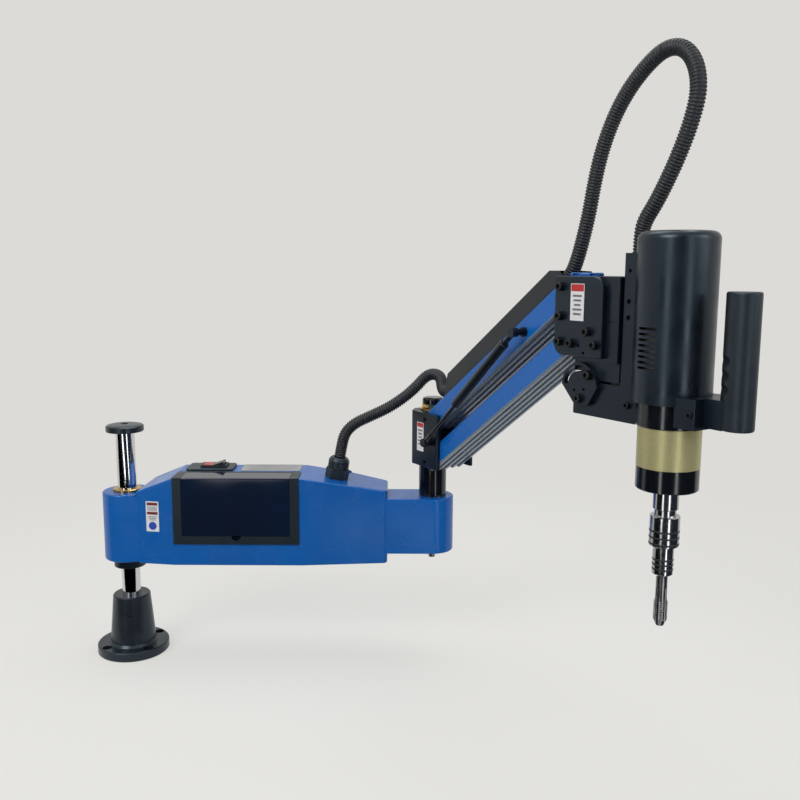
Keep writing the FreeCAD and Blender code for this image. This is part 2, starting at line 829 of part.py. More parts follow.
def make_gland_body():
    shape = hexagon(gland_hex_flats, 0, gland_hex_height)
    shape = shape.common(turned([(0, 0), (gland_hex_flats / 2 + 1, 0), (gland_hex_flats / 2 + 2.5, 1.5),
                                 (gland_hex_flats / 2 + 2.5, gland_hex_height - 1.5),
                                 (gland_hex_flats / 2 + 1, gland_hex_height), (0, gland_hex_height)]))
    shape = shape.fuse(rod(gland_spigot_diameter / 2, -gland_spigot_length, 0))
    shape = shape.cut(rod(hose_bore / 2, -gland_spigot_length - 1, gland_hex_height + 1))
    return gland_tilted(shape)


def make_gland_nut():
    radius = gland_nut_diameter / 2
    low = gland_hex_height
    high = low + gland_nut_height
    shape = turned([(hose_diameter / 2, low), (radius - 1, low), (radius, low + 1), (radius, high - 7),
                    (radius - 2, high - 3), (radius - 5, high), (hose_diameter / 2, high)])
    rib_count = 12
    for k in range(rib_count):
        angle = math.radians(360.0 * k / rib_count)
        shape = shape.cut(rod(1.2, low - 1, high - 7, radius * math.cos(angle), radius * math.sin(angle)))
    return gland_tilted(shape)


def make_elbow_bushes():
    bore = journal_diameter / 2 + running_fit
    outer = elbow_bush_diameter / 2
    brim = elbow_flange_diameter / 2
    crown = block_top + elbow_flange_height
    high = turned([(bore, block_top - elbow_bush_length), (outer, block_top - elbow_bush_length),
                   (outer, block_top), (brim, block_top), (brim, crown), (bore, crown)])
    roof = block_bottom + retainer_pocket
    low = turned([(bore, roof), (outer, roof), (outer, roof + elbow_bush_length), (bore, roof + elbow_bush_length)])
    both = Part.makeCompound([low, high])
    both.translate(Vector(elbow_x, 0, 0))
    return both


# ================================================================ elbow
def make_elbow_column():
    journal = journal_diameter / 2
    body = column_diameter / 2
    shaft = head_shaft_diameter / 2
    low = block_bottom + retainer_pocket - 2
    seat = block_top + elbow_flange_height + joint_gap / 3
    shape = turned([(retainer_screw_diameter / 2, low), (journal, low), (journal, seat), (body, seat),
                    (body, column_top), (shaft, column_top), (shaft, head_top + nut_height), (0, head_top + nut_height),
                    (0, low + retainer_screw_length), (retainer_screw_diameter / 2, low + retainer_screw_length)])
    shape.translate(Vector(elbow_x, 0, 0))
    return shape


def make_elbow_retainer():
    top = block_bottom + retainer_pocket - 2
    under = top - retainer_thickness
    washer = retainer_diameter / 2
    head = retainer_head_diameter / 2
    shank = retainer_screw_diameter / 2
    shape = turned([(0, under - retainer_head_height), (head - 1, under - retainer_head_height),
                    (head, under - retainer_head_height + 1), (head, under), (washer, under), (washer, top),
                    (shank, top), (shank, top + retainer_screw_length), (0, top + retainer_screw_length)])
    shape.translate(Vector(elbow_x, 0, 0))
    return shape


def make_elbow_head():
    wide = head_half_width
    shape = plan_prism([(-head_shoulder, -wide), (head_front, -wide), (head_front, wide), (-head_shoulder, wide),
                        (-head_rear, head_rear_half_width), (-head_rear, -head_rear_half_width)],
                       head_bottom, head_top)
    shape = rounded(shape, head_round, is_upright)
    inner = bar_half_width + plate_gap
    shape = shape.cut(block(head_slot_start, head_front + 1, -inner, inner, head_bottom - 1, head_top + 1))
    shape = shape.cut(rod(head_shaft_diameter / 2, head_bottom - 1, head_top + 1))
    for height in (lower_pin_height, upper_pin_height):
        shape = shape.cut(rod_y(near_pin_diameter / 2, -wide - 1, wide + 1, near_pin_reach, height))
    return to_row(shape)


def make_elbow_nut():
    shape = rod(nut_flange_diameter / 2, head_top, head_top + nut_flange_height)
    shape = shape.fuse(hexagon(nut_flats, head_top, head_top + nut_height))
    shape = shape.cut(rod(head_shaft_diameter / 2, head_top - 1, head_top + nut_height + 1))
    return to_row(shape)


def make_elbow_cap():
    low = head_top + nut_height
    radius = cap_knob_diameter / 2
    high = low + cap_knob_height
    shape = turned([(0, low), (radius - 1, low), (radius, low + 1), (radius, high - 4), (radius - 1.5, high - 1.5),
                    (radius - 5, high), (0, high)])
    return to_row(shape)


def make_elbow_pins():
    pins = []
    half = head_half_width - 0.5
    for height in (lower_pin_height, upper_pin_height):
        pin = rod_y(near_pin_diameter / 2, -half, half, near_pin_reach, height)
        pin = pin.cut(hex_socket_y(hex_socket_flats, -half - 1, -half + socket_depth, near_pin_reach, height))
        pins.append(to_row(pin))
    return Part.makeCompound(pins)


# ================================================================ parallelogram arm
def make_bar(above, below, pin_height, far_hole_radius):
    """One bar of the parallelogram, a ribbed box section with a round nose at each pin."""
    wide = bar_half_width
    body = block(0, bar_length, -wide, wide, -below, above)
    noses = rod_y(bar_end_radius, -wide, wide, 0, 0).fuse(rod_y(bar_end_radius, -wide, wide, bar_length, 0))
    band = block(-bar_end_radius, bar_length + bar_end_radius, -wide, wide, -below, above)
    body = rounded(body, bar_edge_round, is_along_x)
    shape = body.fuse(noses.common(band))
    hollow_top = above - bar_wall
    hollow_low = -below + bar_floor
    inner = wide - bar_wall
    shape = shape.cut(block(-bar_end_radius - 1, bar_length + bar_end_radius + 1, -inner, inner, hollow_low, hollow_top))
    for x in (0, bar_length):
        shape = shape.fuse(rod_y(bar_boss_radius, -wide + 1, wide - 1, x, 0))
    for k in range(groove_count):
        y = groove_pitch * (k - (groove_count - 1) / 2)
        shape = shape.cut(block(-bar_end_radius - 1, bar_length + bar_end_radius + 1, y - groove_width / 2,
                                y + groove_width / 2, -below - 1, -below + groove_depth))
    shape = shape.cut(rod_y(near_pin_diameter / 2 + running_fit, -wide - 1, wide + 1, 0, 0))
    shape = shape.cut(rod_y(far_hole_radius, -wide - 1, wide + 1, bar_length, 0))
    return to_row(to_bar(shape, pin_height))


def make_cable_cover():
    """Folded sheet channel on top of the upper bar, open at both ends."""
    wide = bar_half_width - cable_cover_inset
    low = bar_above_pin_upper
    high = low + cable_cover_height
    sheet = cable_cover_sheet
    start = cable_cover_start
    end = cable_cover_end
    outer = side_prism([(start, low), (end, low), (end, low + cable_cover_end_rise), (end - cable_cover_end_slope, high),
                        (start + cable_cover_start_slope, high)], -wide, wide)
    inner = block(start - 1, end + 1, -wide + sheet, wide - sheet, low - 1, high - sheet)
    shape = outer.cut(inner)
    shape = rounded(shape, sheet / 2, lambda edge: is_along_x(edge) and edge.BoundBox.ZMin > high - 0.01
                    and edge.BoundBox.YMin * edge.BoundBox.YMax > 0 and abs(edge.BoundBox.YMax) > wide - 0.01)
    return to_row(to_bar(shape, upper_pin_height))


# ================================================================ gas spring
def spring_low_place():
    """Reach and height of the stud on the elbow head."""
    return spring_low_reach, upper_pin_height - spring_low_drop


def spring_high_place():
    """Reach and height of the stud on the upper bar."""
    reach = near_pin_reach + spring_high_along * math.cos(lift_angle) + spring_high_below * math.sin(lift_angle)
    height = upper_pin_height + spring_high_along * math.sin(lift_angle) - spring_high_below * math.cos(lift_angle)
    return reach, height


def spring_line():
    """Length and upward angle of the gas spring between its two studs."""
    high_reach, high_height = spring_high_place()
    low_reach, low_height = spring_low_place()
    run = high_reach - low_reach
    rise = high_height - low_height
    return math.hypot(run, rise), math.degrees(math.atan2(rise, run))


def on_spring(shape):
    """Place a shape drawn along X from the upper stud, towards the lower stud."""
    angle = spring_line()[1]
    placed = shape.copy()
    placed.rotate(Vector(0, 0, 0), Vector(0, 1, 0), 180 - angle)
    reach, height = spring_high_place()
    placed.translate(Vector(reach, -spring_plane, height))
    return to_row(placed)


def make_stud(place, seat):
    """Ball stud that stands out towards -Y from the face at y = -seat."""
    reach, height = place
    tip = spring_plane - spring_socket_thickness / 2 - joint_gap
    foot = rod_y(stud_foot_diameter / 2, -seat - stud_foot_height, -seat, reach, height)
    return to_row(foot.fuse(rod_y(stud_diameter / 2, -tip, -seat, reach, height)))


def make_spring_cylinder():
    radius = spring_cylinder_diameter / 2
    socket = rod_y(spring_socket_diameter / 2, -spring_socket_thickness / 2, spring_socket_thickness / 2, 0, 0)
    neck = rod_x(spring_neck_diameter / 2, 0, spring_neck_length, 0, 0)
    far = spring_neck_length + spring_cylinder_length
    tube = rod_x(radius, spring_neck_length, far, 0, 0)
    tube = rounded(tube, 2.0, lambda edge: len(edge.Vertexes) < 2)
    shape = socket.fuse([neck, tube])
    bore = radius - spring_wall
    shape = shape.cut(rod_x(bore, spring_neck_length + spring_wall * 3, far - spring_wall * 4, 0, 0))
    shape = shape.cut(rod_x(spring_rod_diameter / 2 + running_fit, far - spring_wall * 5, far + 1, 0, 0))
    return on_spring(shape)


def make_spring_rod():
    span = spring_line()[0]
    inside = spring_neck_length + spring_cylinder_length - spring_wall * 4 - rod_rear_length - piston_length
    shape = rod_x(spring_rod_diameter / 2, inside, span, 0, 0)
    shape = shape.fuse(rod_x(piston_diameter / 2, inside, inside + piston_length, 0, 0))
    shape = shape.fuse(rod_x(spring_neck_diameter / 2, span - spring_neck_length, span, 0, 0))
    socket = rod_y(spring_socket_diameter / 2, -spring_socket_thickness / 2, spring_socket_thickness / 2, span, 0)
    return on_spring(shape.fuse(socket))


# ================================================================ end link
def link_place(reach, height):
    """Arm-frame reach and height of a place given from the lower far pin."""
    return far_pin_reach + reach, far_lower_height + height


def make_link_plate(side):
    """Side plate of the end link; side is -1 for the front plate and 1 for the rear one."""
    left = far_pin_reach - plate_left
    right = far_pin_reach + plate_right
    y0 = min(side * plate_inner, side * plate_outer)
    shape = block(left, right, y0, y0 + plate_thickness, plate_bottom, link_top)
    corners = ((left, plate_bottom, plate_low_round), (right, link_top, plate_top_round),
               (left, link_top, plate_small_round), (right, plate_bottom, plate_small_round))
    for x, z, radius in corners:
        shape = rounded(shape, radius, lambda edge: is_along_y(edge) and abs(edge.BoundBox.XMin - x) < 1e-6
                        and abs(edge.BoundBox.ZMin - z) < 1e-6)
    outer_y = side * plate_outer
    shape = shape.makeChamfer(0.8, [edge for edge in shape.Edges if abs(edge.BoundBox.YMin - outer_y) < 1e-6
                                    and abs(edge.BoundBox.YMax - outer_y) < 1e-6])
    holes = [(*link_place(x, z), screw_diameter / 2) for x, z in link_screws_front]
    holes += [(*link_place(x, z), dowel_diameter / 2) for x, z in plate_dowels]
    holes += [(far_pin_reach, z, far_pin_diameter / 2) for z in (far_lower_height, far_upper_height)]
    for x, z, radius in holes:
        shape = shape.cut(rod_y(radius, -plate_outer - 1, plate_outer + 1, x, z))
    return to_row(shape)


def make_link_block():
    start = far_pin_reach + block_start
    end = far_pin_reach + block_end
    wide = block_half_width
    top = link_top - joint_gap
    shape = block(start, end, -wide, wide, link_block_bottom, top)
    shape = rounded(shape, 2.0, lambda edge: is_upright(edge) and edge.BoundBox.XMin > end - 1)
    spacer_reach, web_height = link_place(*link_screws_front[0])
    shape = shape.fuse(block(spacer_reach, start + 1, -wide, wide, web_height - web_half_height,
                             web_height + web_half_height))
    shape = shape.fuse(rod_y(spacer_radius, -wide, wide, spacer_reach, web_height))
    low = link_low_half_width
    step_end = far_pin_reach + link_low_step_end
    shape = shape.fuse(block(start, step_end, -low, low, link_low_step, link_block_bottom + 1))
    shape = shape.fuse(block(step_end - 1, end, -low, low, link_low_bottom, link_block_bottom + 1))
    tongue = tongue_half_width
    shape = shape.fuse(block(tilt_reach - tongue_radius, tilt_reach + tongue_radius, -tongue, tongue, tilt_height,
                             link_low_step + 1))
    shape = shape.fuse(rod_y(tongue_radius, -tongue, tongue, tilt_reach, tilt_height))
    for y in (-wide, wide):
        shape = shape.cut(block(far_pin_reach + plate_right + 1, end + 1, y - block_seam, y + block_seam,
                                block_seam_height - block_seam / 2, block_seam_height + block_seam / 2))
    shape = shape.cut(rod_y(tilt_pin_diameter / 2, -wide, wide, tilt_reach, tilt_height))
    lock_x, lock_z = lock_place()
    shape = shape.cut(rod_y(screw_diameter / 2, -wide, -low + screw_length, lock_x, lock_z))
    for place in link_screws_front:
        x, z = link_place(*place)
        for side in (-1, 1):
            mouth = sorted((side * (wide + 1), side * (plate_outer - screw_length)))
            shape = shape.cut(rod_y(screw_diameter / 2, mouth[0], mouth[1], x, z))
    return to_row(shape)


def make_link_screws():
    screws = []
    for side in (-1, 1):
        for place in link_screws_front:
            x, z = link_place(*place)
            screws.append(to_row(socket_screw_y(x, z, side, plate_outer, screw_length, screw_diameter,
                                                screw_head_diameter, screw_head_height, hex_socket_flats)))
    return Part.makeCompound(screws)


def make_link_pins():
    pins = []
    for z in (far_lower_height, far_upper_height):
        pin = socket_screw_y(far_pin_reach, z, -1, plate_outer, plate_outer * 2, far_pin_diameter,
                             screw_head_diameter, screw_head_height, hex_socket_flats)
        nut = rod_y(screw_head_diameter / 2, plate_outer, plate_outer + screw_head_height, far_pin_reach, z)
        pins.append(to_row(pin.fuse(nut)))
    return Part.makeCompound(pins)


def make_link_cap():
    """Narrow rail on top of the link, behind its front plate."""
    left = far_pin_reach + link_cap_start
    front = -bar_half_width
    top = link_top + link_cap_thickness
    shape = block(left, far_pin_reach + link_cap_end, front, front + link_cap_width, link_top, top)
    shape = shape.makeChamfer(2.0, [edge for edge in shape.Edges if is_upright(edge) or at_height(edge, top)])
    for place in link_cap_slots:
        slot = block(left + place - link_cap_slot_length / 2, left + place + link_cap_slot_length / 2,
                     front - 1, front + link_cap_slot_depth, link_top + 1, top - 1)
        shape = shape.cut(slot)
    return to_row(shape)


# ================================================================ head tilt
def lock_place():
    """Reach and height of the tilt lock bolt."""
    angle = math.radians(lock_angle)
    return tilt_reach + slot_radius * math.cos(angle), tilt_height + slot_radius * math.sin(angle)


def arc_slot(y0, y1):
    """Arc slot about the tilt axis."""
    inner = slot_radius - slot_width / 2
    outer = slot_radius + slot_width / 2
    ring = rod_y(outer, y0, y1, tilt_reach, tilt_height).cut(rod_y(inner, y0, y1, tilt_reach, tilt_height))
    far = outer * 2
    rays = [(0.0, 0.0)]
    for k in range(5):
        angle = math.radians(slot_from + (slot_to - slot_from) * k / 4)
        rays.append((far * math.cos(angle), far * math.sin(angle)))
    wedge = side_prism([(tilt_reach + x, tilt_height + z) for x, z in rays], y0, y1)
    slot = ring.common(wedge)
    for degrees in (slot_from, slot_to):
        angle = math.radians(degrees)
        slot = slot.fuse(rod_y(slot_width / 2, y0, y1, tilt_reach + slot_radius * math.cos(angle),
                               tilt_height + slot_radius * math.sin(angle)))
    return slot


def make_quadrant_plate():
    y1 = -carriage_half_width
    y0 = y1 - quadrant_thickness
    foot = tilt_height - quadrant_foot_drop
    shape = rod_y(quadrant_radius, y0, y1, tilt_reach, tilt_height)
    shape = shape.cut(block(tilt_reach - quadrant_radius * 2, tilt_reach + quadrant_radius * 2, y0 - 1, y1 + 1,
                            tilt_height - quadrant_radius * 2, tilt_height))
    skirt = side_prism([(tilt_reach - quadrant_radius, tilt_height + 1),
                        (tilt_reach - quadrant_foot_width / 2, foot), (tilt_reach + quadrant_foot_width, foot),
                        (tilt_reach + quadrant_radius, tilt_height + 1)], y0, y1)
    shape = shape.fuse(skirt).removeSplitter()
    shape = shape.cut(arc_slot(y0 - 1, y1 + 1))
    for x, z, radius in quadrant_fixings():
        shape = shape.cut(rod_y(radius, y0 - 1, y1 + 1, tilt_reach + x, tilt_height + z))
    return to_row(shape)


def quadrant_fixings():
    """Places, about the tilt axis, and radii of the holes in the quadrant's foot."""
    return ((1.0, -17.0, screw_diameter / 2), (-9.0, -6.0, dowel_diameter / 2), (10.0, -3.0, dowel_diameter / 2))


def make_tilt_pin():
    half = carriage_half_width - 0.5
    return to_row(rod_y(tilt_pin_diameter / 2 - running_fit, -half, half, tilt_reach, tilt_height))


def make_tilt_lock_bolt():
    x, z = lock_place()
    seat = carriage_half_width + quadrant_thickness + joint_gap
    return to_row(socket_screw_y(x, z, -1, seat, seat - link_low_half_width + screw_length, slot_width - 2 * joint_gap,
                                 lock_head_diameter, screw_head_height, hex_socket_flats))


def make_head_carriage():
    """Fork that hangs the head on the tilt pin and reaches under the gearbox."""
    wide = carriage_half_width
    front = spindle_reach
    shape = block(carriage_rear, front, -wide, wide, carriage_low, carriage_top)
    nose = tilt_reach - carriage_rear
    shape = rounded(shape, nose * 0.9, lambda edge: is_along_y(edge) and edge.BoundBox.XMax < carriage_rear + 1
                    and edge.BoundBox.ZMin > carriage_top - 1)
    shape = rounded(shape, 2.0, lambda edge: is_along_y(edge) and edge.BoundBox.XMax < carriage_rear + 1)
    slot = tongue_half_width + plate_gap
    slot_end = tilt_reach + tongue_radius + joint_gap * 6
    shape = shape.cut(block(carriage_rear - 1, slot_end, -slot, slot, carriage_low - 1, carriage_top + 1))
    shape = shape.cut(rod(gearbox_ring_radius, carriage_low - 1, carriage_top + 1, spindle_reach))
    shape = shape.cut(rod(cover_radius + joint_gap, cover_bottom, carriage_top + 1, spindle_reach))
    shape = shape.cut(rod_y(tilt_pin_diameter / 2 + joint_gap, -wide - 1, wide + 1, tilt_reach, tilt_height))
    for x, z, radius in quadrant_fixings():
        shape = shape.cut(rod_y(radius, -wide - 1, -wide + screw_length, tilt_reach + x, tilt_height + z))
    x, z = carriage_screw_place()
    return to_row(shape.cut(rod_y(carriage_screw_diameter / 2, -wide - 1, -wide + screw_length, x, z)))


def carriage_screw_place():
    """Reach and height of the screw in the carriage's front side."""
    return spine_rear + carriage_screw_inset, (carriage_low + carriage_top) / 2


# ================================================================ head
def spine_envelope(grow):
    """Outer form of the spine behind the motor, grown by a clearance."""
    return block(spine_rear - grow, spine_front, -spine_half_width - grow, spine_half_width + grow, carriage_top,
                 spine_top + grow)


def make_head_spine():
    shape = spine_envelope(0)
    shape = rounded(shape, 2.0, lambda edge: is_upright(edge) and edge.BoundBox.XMax < spine_rear + 1)
    wall = cover_wall + 1.5
    shape = shape.cut(rod(cover_radius - wall, carriage_top - 1, spine_top - wall, spindle_reach))
    shape = shape.cut(rod(cover_radius + joint_gap, spine_top - wall - 1, spine_top + 1, spindle_reach))
    wide = port_block_half_width
    port = block(port_block_rear, spine_rear + 1, -wide, wide, port_block_low, spine_top)
    shape = shape.fuse(port)
    for drop, radius in spine_holes:
        shape = shape.cut(rod_y(radius, -spine_half_width - 1, -spine_half_width + spine_hole_depth,
                                spine_rear + spine_hole_inset, spine_top - drop))
    return to_row(shape)


def make_motor_cover():
    radius = cover_radius
    outer = rod(radius, cover_bottom, cover_top, spindle_reach)
    outer = rounded(outer, cover_round, lambda edge: at_height(edge, cover_top))
    inner = rod(radius - cover_wall, cover_bottom - 1, cover_top - cover_wall, spindle_reach)
    inner = rounded(inner, cover_round - cover_wall, lambda edge: at_height(edge, cover_top - cover_wall))
    shape = outer.cut(inner).cut(spine_envelope(joint_gap))
    clamp = clamp_half_width + joint_gap
    shape = shape.cut(block(spindle_reach + clamp_near - joint_gap, spindle_reach + clamp_far, -clamp, clamp,
                            cover_bottom - 1, clamp_top + joint_gap))
    shape = shape.cut(block(carriage_rear, spindle_reach, -carriage_half_width - joint_gap,
                            carriage_half_width + joint_gap, cover_bottom - 1, carriage_top + joint_gap))
    for k in range(vent_count):
        low = vent_low + vent_pitch * k
        for side in (-1, 1):
            shape = shape.cut(vent_cutter(low, side))
    return to_row(shape)


def vent_cutter(low, side):
    """Wedge that cuts one vent slot through the motor cover's wall."""
    far = cover_radius * 1.4
    points = [(0.0, 0.0)]
    for k in range(4):
        angle = math.radians(side * (vent_from + (vent_to - vent_from) * k / 3))
        points.append((far * math.cos(angle), far * math.sin(angle)))
    if side < 0:
        points.reverse()
    wedge = plan_prism([(spindle_reach + x, y) for x, y in points], low, low + vent_height)
    return wedge.cut(rod(cover_radius - cover_wall * 2, low - 1, low + vent_height + 1, spindle_reach))


def make_servo_motor():
    half = motor_width / 2
    flange = motor_flange_width / 2
    low = cover_bottom + motor_flange_height
    shape = block(spindle_reach - half, spindle_reach + half, -half, half, low, motor_top)
    shape = shape.makeChamfer(8.0, [edge for edge in shape.Edges if is_upright(edge)])
    plate = block(spindle_reach - flange, spindle_reach + flange, -flange, flange, cover_bottom, low)
    plate = plate.makeChamfer(9.0, [edge for edge in plate.Edges if is_upright(edge)])
    return to_row(shape.fuse(plate))


def make_gearbox_ring():
    radius = gearbox_ring_radius
    shape = turned([(0, gearbox_ring_low), (radius - 1, gearbox_ring_low), (radius, gearbox_ring_low + 1),
                    (radius, cover_bottom), (0, cover_bottom)])
    shape.translate(Vector(spindle_reach, 0, 0))
    return to_row(shape)


def make_gear_housing():
    radius = gear_housing_radius
    inner = radius - nose_wall
    roof = gearbox_ring_low - nose_wall
    shape = turned([(inner, gear_housing_low), (radius, gear_housing_low), (radius, gearbox_ring_low),
                    (0, gearbox_ring_low), (0, roof), (inner, roof)])
    shape.translate(Vector(spindle_reach, 0, 0))
    return to_row(shape)


def make_nose_ring():
    radius = nose_radius
    bore = spindle_diameter / 2 + running_fit
    shape = turned([(bore, nose_low), (radius - 1.5, nose_low), (radius, nose_low + 1.5), (radius, gear_housing_low),
                    (bore, gear_housing_low)])
    shape.translate(Vector(spindle_reach, 0, 0))
    return to_row(shape)


def clamp_screw_place():
    """Reach and height of the screw in the clamp's front side."""
    return spindle_reach + clamp_far - clamp_screw_inset, (clamp_low + clamp_top) / 2


def make_head_screws():
    x, z = clamp_screw_place()
    front = to_row(socket_screw_y(x, z, -1, clamp_half_width, screw_length, clamp_screw_diameter,
                                  clamp_screw_head_diameter, clamp_screw_head_height, clamp_screw_flats))
    x, z = carriage_screw_place()
    rear = to_row(socket_screw_y(x, z, -1, carriage_half_width, screw_length, carriage_screw_diameter,
                                 carriage_screw_head_diameter, carriage_screw_head_height, small_screw_flats))
    x, z, radius = quadrant_fixings()[0]
    foot = to_row(socket_screw_y(tilt_reach + x, tilt_height + z, -1, carriage_half_width + quadrant_thickness,
                                 quadrant_thickness + screw_length, radius * 2, screw_head_diameter,
                                 quadrant_screw_head_height, small_screw_flats))
    return Part.makeCompound([front, rear, foot])


# ================================================================ handle
def grip_column(grow, z0, z1):
    """Oval column on the grip axis."""
    oval = Part.Ellipse(Vector(0, 0, 0), grip_long_radius + grow, grip_short_radius + grow)
    shape = Part.Face(Part.Wire([oval.toShape()])).extrude(Vector(0, 0, z1 - z0))
    shape.translate(Vector(spindle_reach + handle_offset, 0, z0))
    return shape


def make_handle_bracket():
    near = spindle_reach + clamp_near
    far = spindle_reach + clamp_far
    wide = clamp_half_width
    clamp = block(near, far, -wide, wide, clamp_low, clamp_top)
    clamp = rounded(clamp, 2.0, lambda edge: is_upright(edge) and edge.BoundBox.XMin > far - 1)
    arm = block(far - 1, spindle_reach + handle_offset, -handle_arm_half_width, handle_arm_half_width, handle_low,
                handle_arm_top)
    shape = clamp.fuse(arm)
    shape = shape.cut(rod(gearbox_ring_radius, clamp_low - 1, cover_bottom, spindle_reach))
    shape = shape.cut(rod(cover_radius - cover_wall * 2, cover_bottom, handle_arm_top + 1, spindle_reach))
    shape = shape.cut(grip_column(0, handle_low - 1, handle_arm_top + 1))
    x, z = clamp_screw_place()
    return to_row(shape.cut(rod_y(clamp_screw_diameter / 2, -wide - 1, -wide + screw_length, x, z)))


def make_handle_grip():
    shape = grip_column(0, handle_low, grip_top)
    shape = rounded(shape, 3.0, lambda edge: at_height(edge, grip_top) or at_height(edge, handle_low))
    axis = spindle_reach + handle_offset
    face = axis - grip_short_radius
    for k in range(grip_groove_count):
        z = grip_groove_low + grip_groove_pitch * k
        groove = rod_y(grip_groove_radius, -grip_short_radius * 2, grip_short_radius * 2,
                       face - grip_groove_radius + grip_groove_depth, z)
        groove.rotate(Vector(axis, 0, 0), Vector(0, 0, 1), grip_groove_turn)
        shape = shape.cut(groove)
    for z in (start_button_height, reverse_button_height):
        shape = shape.cut(rod_y(button_diameter / 2 + running_fit * 2, grip_short_radius - button_length, button_mouth(),
                                spindle_reach + handle_offset, z))
    return to_row(shape)


def button_mouth():
    """Y beyond the grip's far side."""
    return grip_short_radius * 2


def make_button(height):
    """Push button on the far side of the grip."""
    base = grip_short_radius - button_length + button_travel + joint_gap
    tip = grip_short_radius + button_stand_out
    shape = rod_y(button_diameter / 2, base, tip, spindle_reach + handle_offset, height)
    shape = rounded(shape, 1.0, lambda edge: abs(edge.BoundBox.YMin - tip) < 1e-6 and abs(edge.BoundBox.YMax - tip) < 1e-6)
    return to_row(shape)


# ================================================================ spindle, chuck and tap
def make_spindle():
    radius = spindle_diameter / 2
    core = chuck_core_diameter / 2
    top = gear_housing_low + 20.0
    shape = turned([(collet_diameter / 2 - 4.0, sleeve_bottom + 6), (core, sleeve_bottom + 6), (core, sleeve_top + 8),
                    (radius, sleeve_top + 10), (radius, top), (0, top), (0, sleeve_top), (collet_diameter / 2 - 4.0,
                                                                                     sleeve_top)])
    shape.translate(Vector(spindle_reach, 0, 0))
    return to_row(shape)


def grooved(radius, low, high, grooves, depth, width, bore):
    """Turned sleeve with ring grooves."""
    points = [(bore, low), (radius - 1, low), (radius, low + 1)]
    for z in [low + place for place in grooves]:
        points += [(radius, z - width / 2), (radius - depth, z - width / 2), (radius - depth, z + width / 2),
                   (radius, z + width / 2)]
    points += [(radius, high - 1), (radius - 1, high), (bore, high)]
    shape = turned(points)
    shape.translate(Vector(spindle_reach, 0, 0))
    return shape


def make_chuck_sleeve():
    bore = chuck_core_diameter / 2 + running_fit
    return to_row(grooved(sleeve_diameter / 2, sleeve_bottom, sleeve_top, sleeve_grooves, sleeve_groove_depth,
                          sleeve_groove_width, bore))


def make_tap_collet():
    radius = collet_diameter / 2
    bore = tap_shank_diameter / 2
    body = grooved(radius, collet_bottom, sleeve_bottom + 5, collet_grooves, sleeve_groove_depth,
                   sleeve_groove_width, bore)
    stem = turned([(bore, sleeve_bottom + 5), (radius - 4.0, sleeve_bottom + 5), (radius - 4.0, sleeve_top - 2),
                   (bore, sleeve_top - 2)])
    stem.translate(Vector(spindle_reach, 0, 0))
    return to_row(body.fuse(stem))


def make_tap():
    shank = tap_shank_diameter / 2
    crest = tap_thread_diameter / 2
    root = crest - thread_depth
    points = [(0, tap_tip), (crest * 0.55, tap_tip), (root, tap_tip + tap_point_length)]
    turns = int((tap_thread_top - tap_tip - tap_point_length - 4.0) / thread_pitch)
    for k in range(turns):
        z = tap_tip + tap_point_length + thread_pitch * k
        points += [(crest, z + thread_pitch * 0.4), (crest, z + thread_pitch * 0.6), (root, z + thread_pitch)]
    points += [(shank, tap_thread_top), (shank, sleeve_bottom), (0, sleeve_bottom)]
    shape = turned(points)
    for k in range(flute_count):
        angle = math.radians(360.0 * k / flute_count)
        x = crest * math.cos(angle)
        y = crest * math.sin(angle)
        cutter = rod(flute_radius, tap_tip - 1, tap_thread_top + 14.0, x, y)
        shape = shape.cut(cutter)
    shape = shape.fuse(block(-tap_square_width / 2, tap_square_width / 2, -tap_square_width / 2, tap_square_width / 2,
                             sleeve_bottom - 1, sleeve_bottom + 12.0).common(rod(shank, 0, sleeve_top)))
    shape.translate(Vector(spindle_reach, 0, 0))
    return to_row(shape)


# ================================================================ hoses
def hose_tube(points, label):
    """Round tube along straight runs joined by tangent arcs; prints its arc radii and its volume."""
    vectors = [Vector(*p) for p in points]
    edges = []
    radii = []
    start = vectors[0]
    for k in range(1, len(vectors) - 1):
        before = vectors[k] - vectors[k - 1]
        after = vectors[k + 1] - vectors[k]
        turn = before.getAngle(after)
        trim = 0.45 * min(before.Length, after.Length)
        radius = trim / math.tan(turn / 2)
        radii.append(round(radius / hose_diameter, 2))
        towards = Vector(before).normalize()
        onwards = Vector(after).normalize()
        entry = vectors[k] - towards * trim
        leave = vectors[k] + onwards * trim
        inward = (onwards - towards).normalize()
        centre = vectors[k] + inward * (radius / math.cos(turn / 2))
        middle = centre - inward * radius
        edges.append(Part.LineSegment(start, entry).toShape())
        edges.append(Part.Arc(entry, middle, leave).toShape())
        start = leave
    edges.append(Part.LineSegment(start, vectors[-1]).toShape())
    path = Part.Wire(edges)
    circle = Part.Circle(vectors[0], (vectors[1] - vectors[0]).normalize(), hose_diameter / 2)
    profile = Part.Wire([circle.toShape()])
    tube = path.makePipeShell([profile], True, False)
    section = math.pi * hose_diameter ** 2 / 4
    print(label, "arc radii in diameters:", radii)
    print(label, "length", round(path.Length, 1), "volume ratio", round(tube.Volume / section / path.Length, 4))
    return tube


def arm_point(reach, side, height):
    """Row point of an arm-frame point."""
    angle = math.radians(swing_at_rest)
    return (elbow_x + reach * math.cos(angle) - side * math.sin(angle),
            reach * math.sin(angle) + side * math.cos(angle), height)


def bar_point(along, side, above):
    """Row point of a point by the upper bar: along it from its near pin, to its left and above its pin line."""
    angle = math.radians(lift_at_rest)
    reach = near_pin_reach + along * math.cos(angle) - above * math.sin(angle)
    return arm_point(reach, side, upper_pin_height + along * math.sin(angle) + above * math.cos(angle))


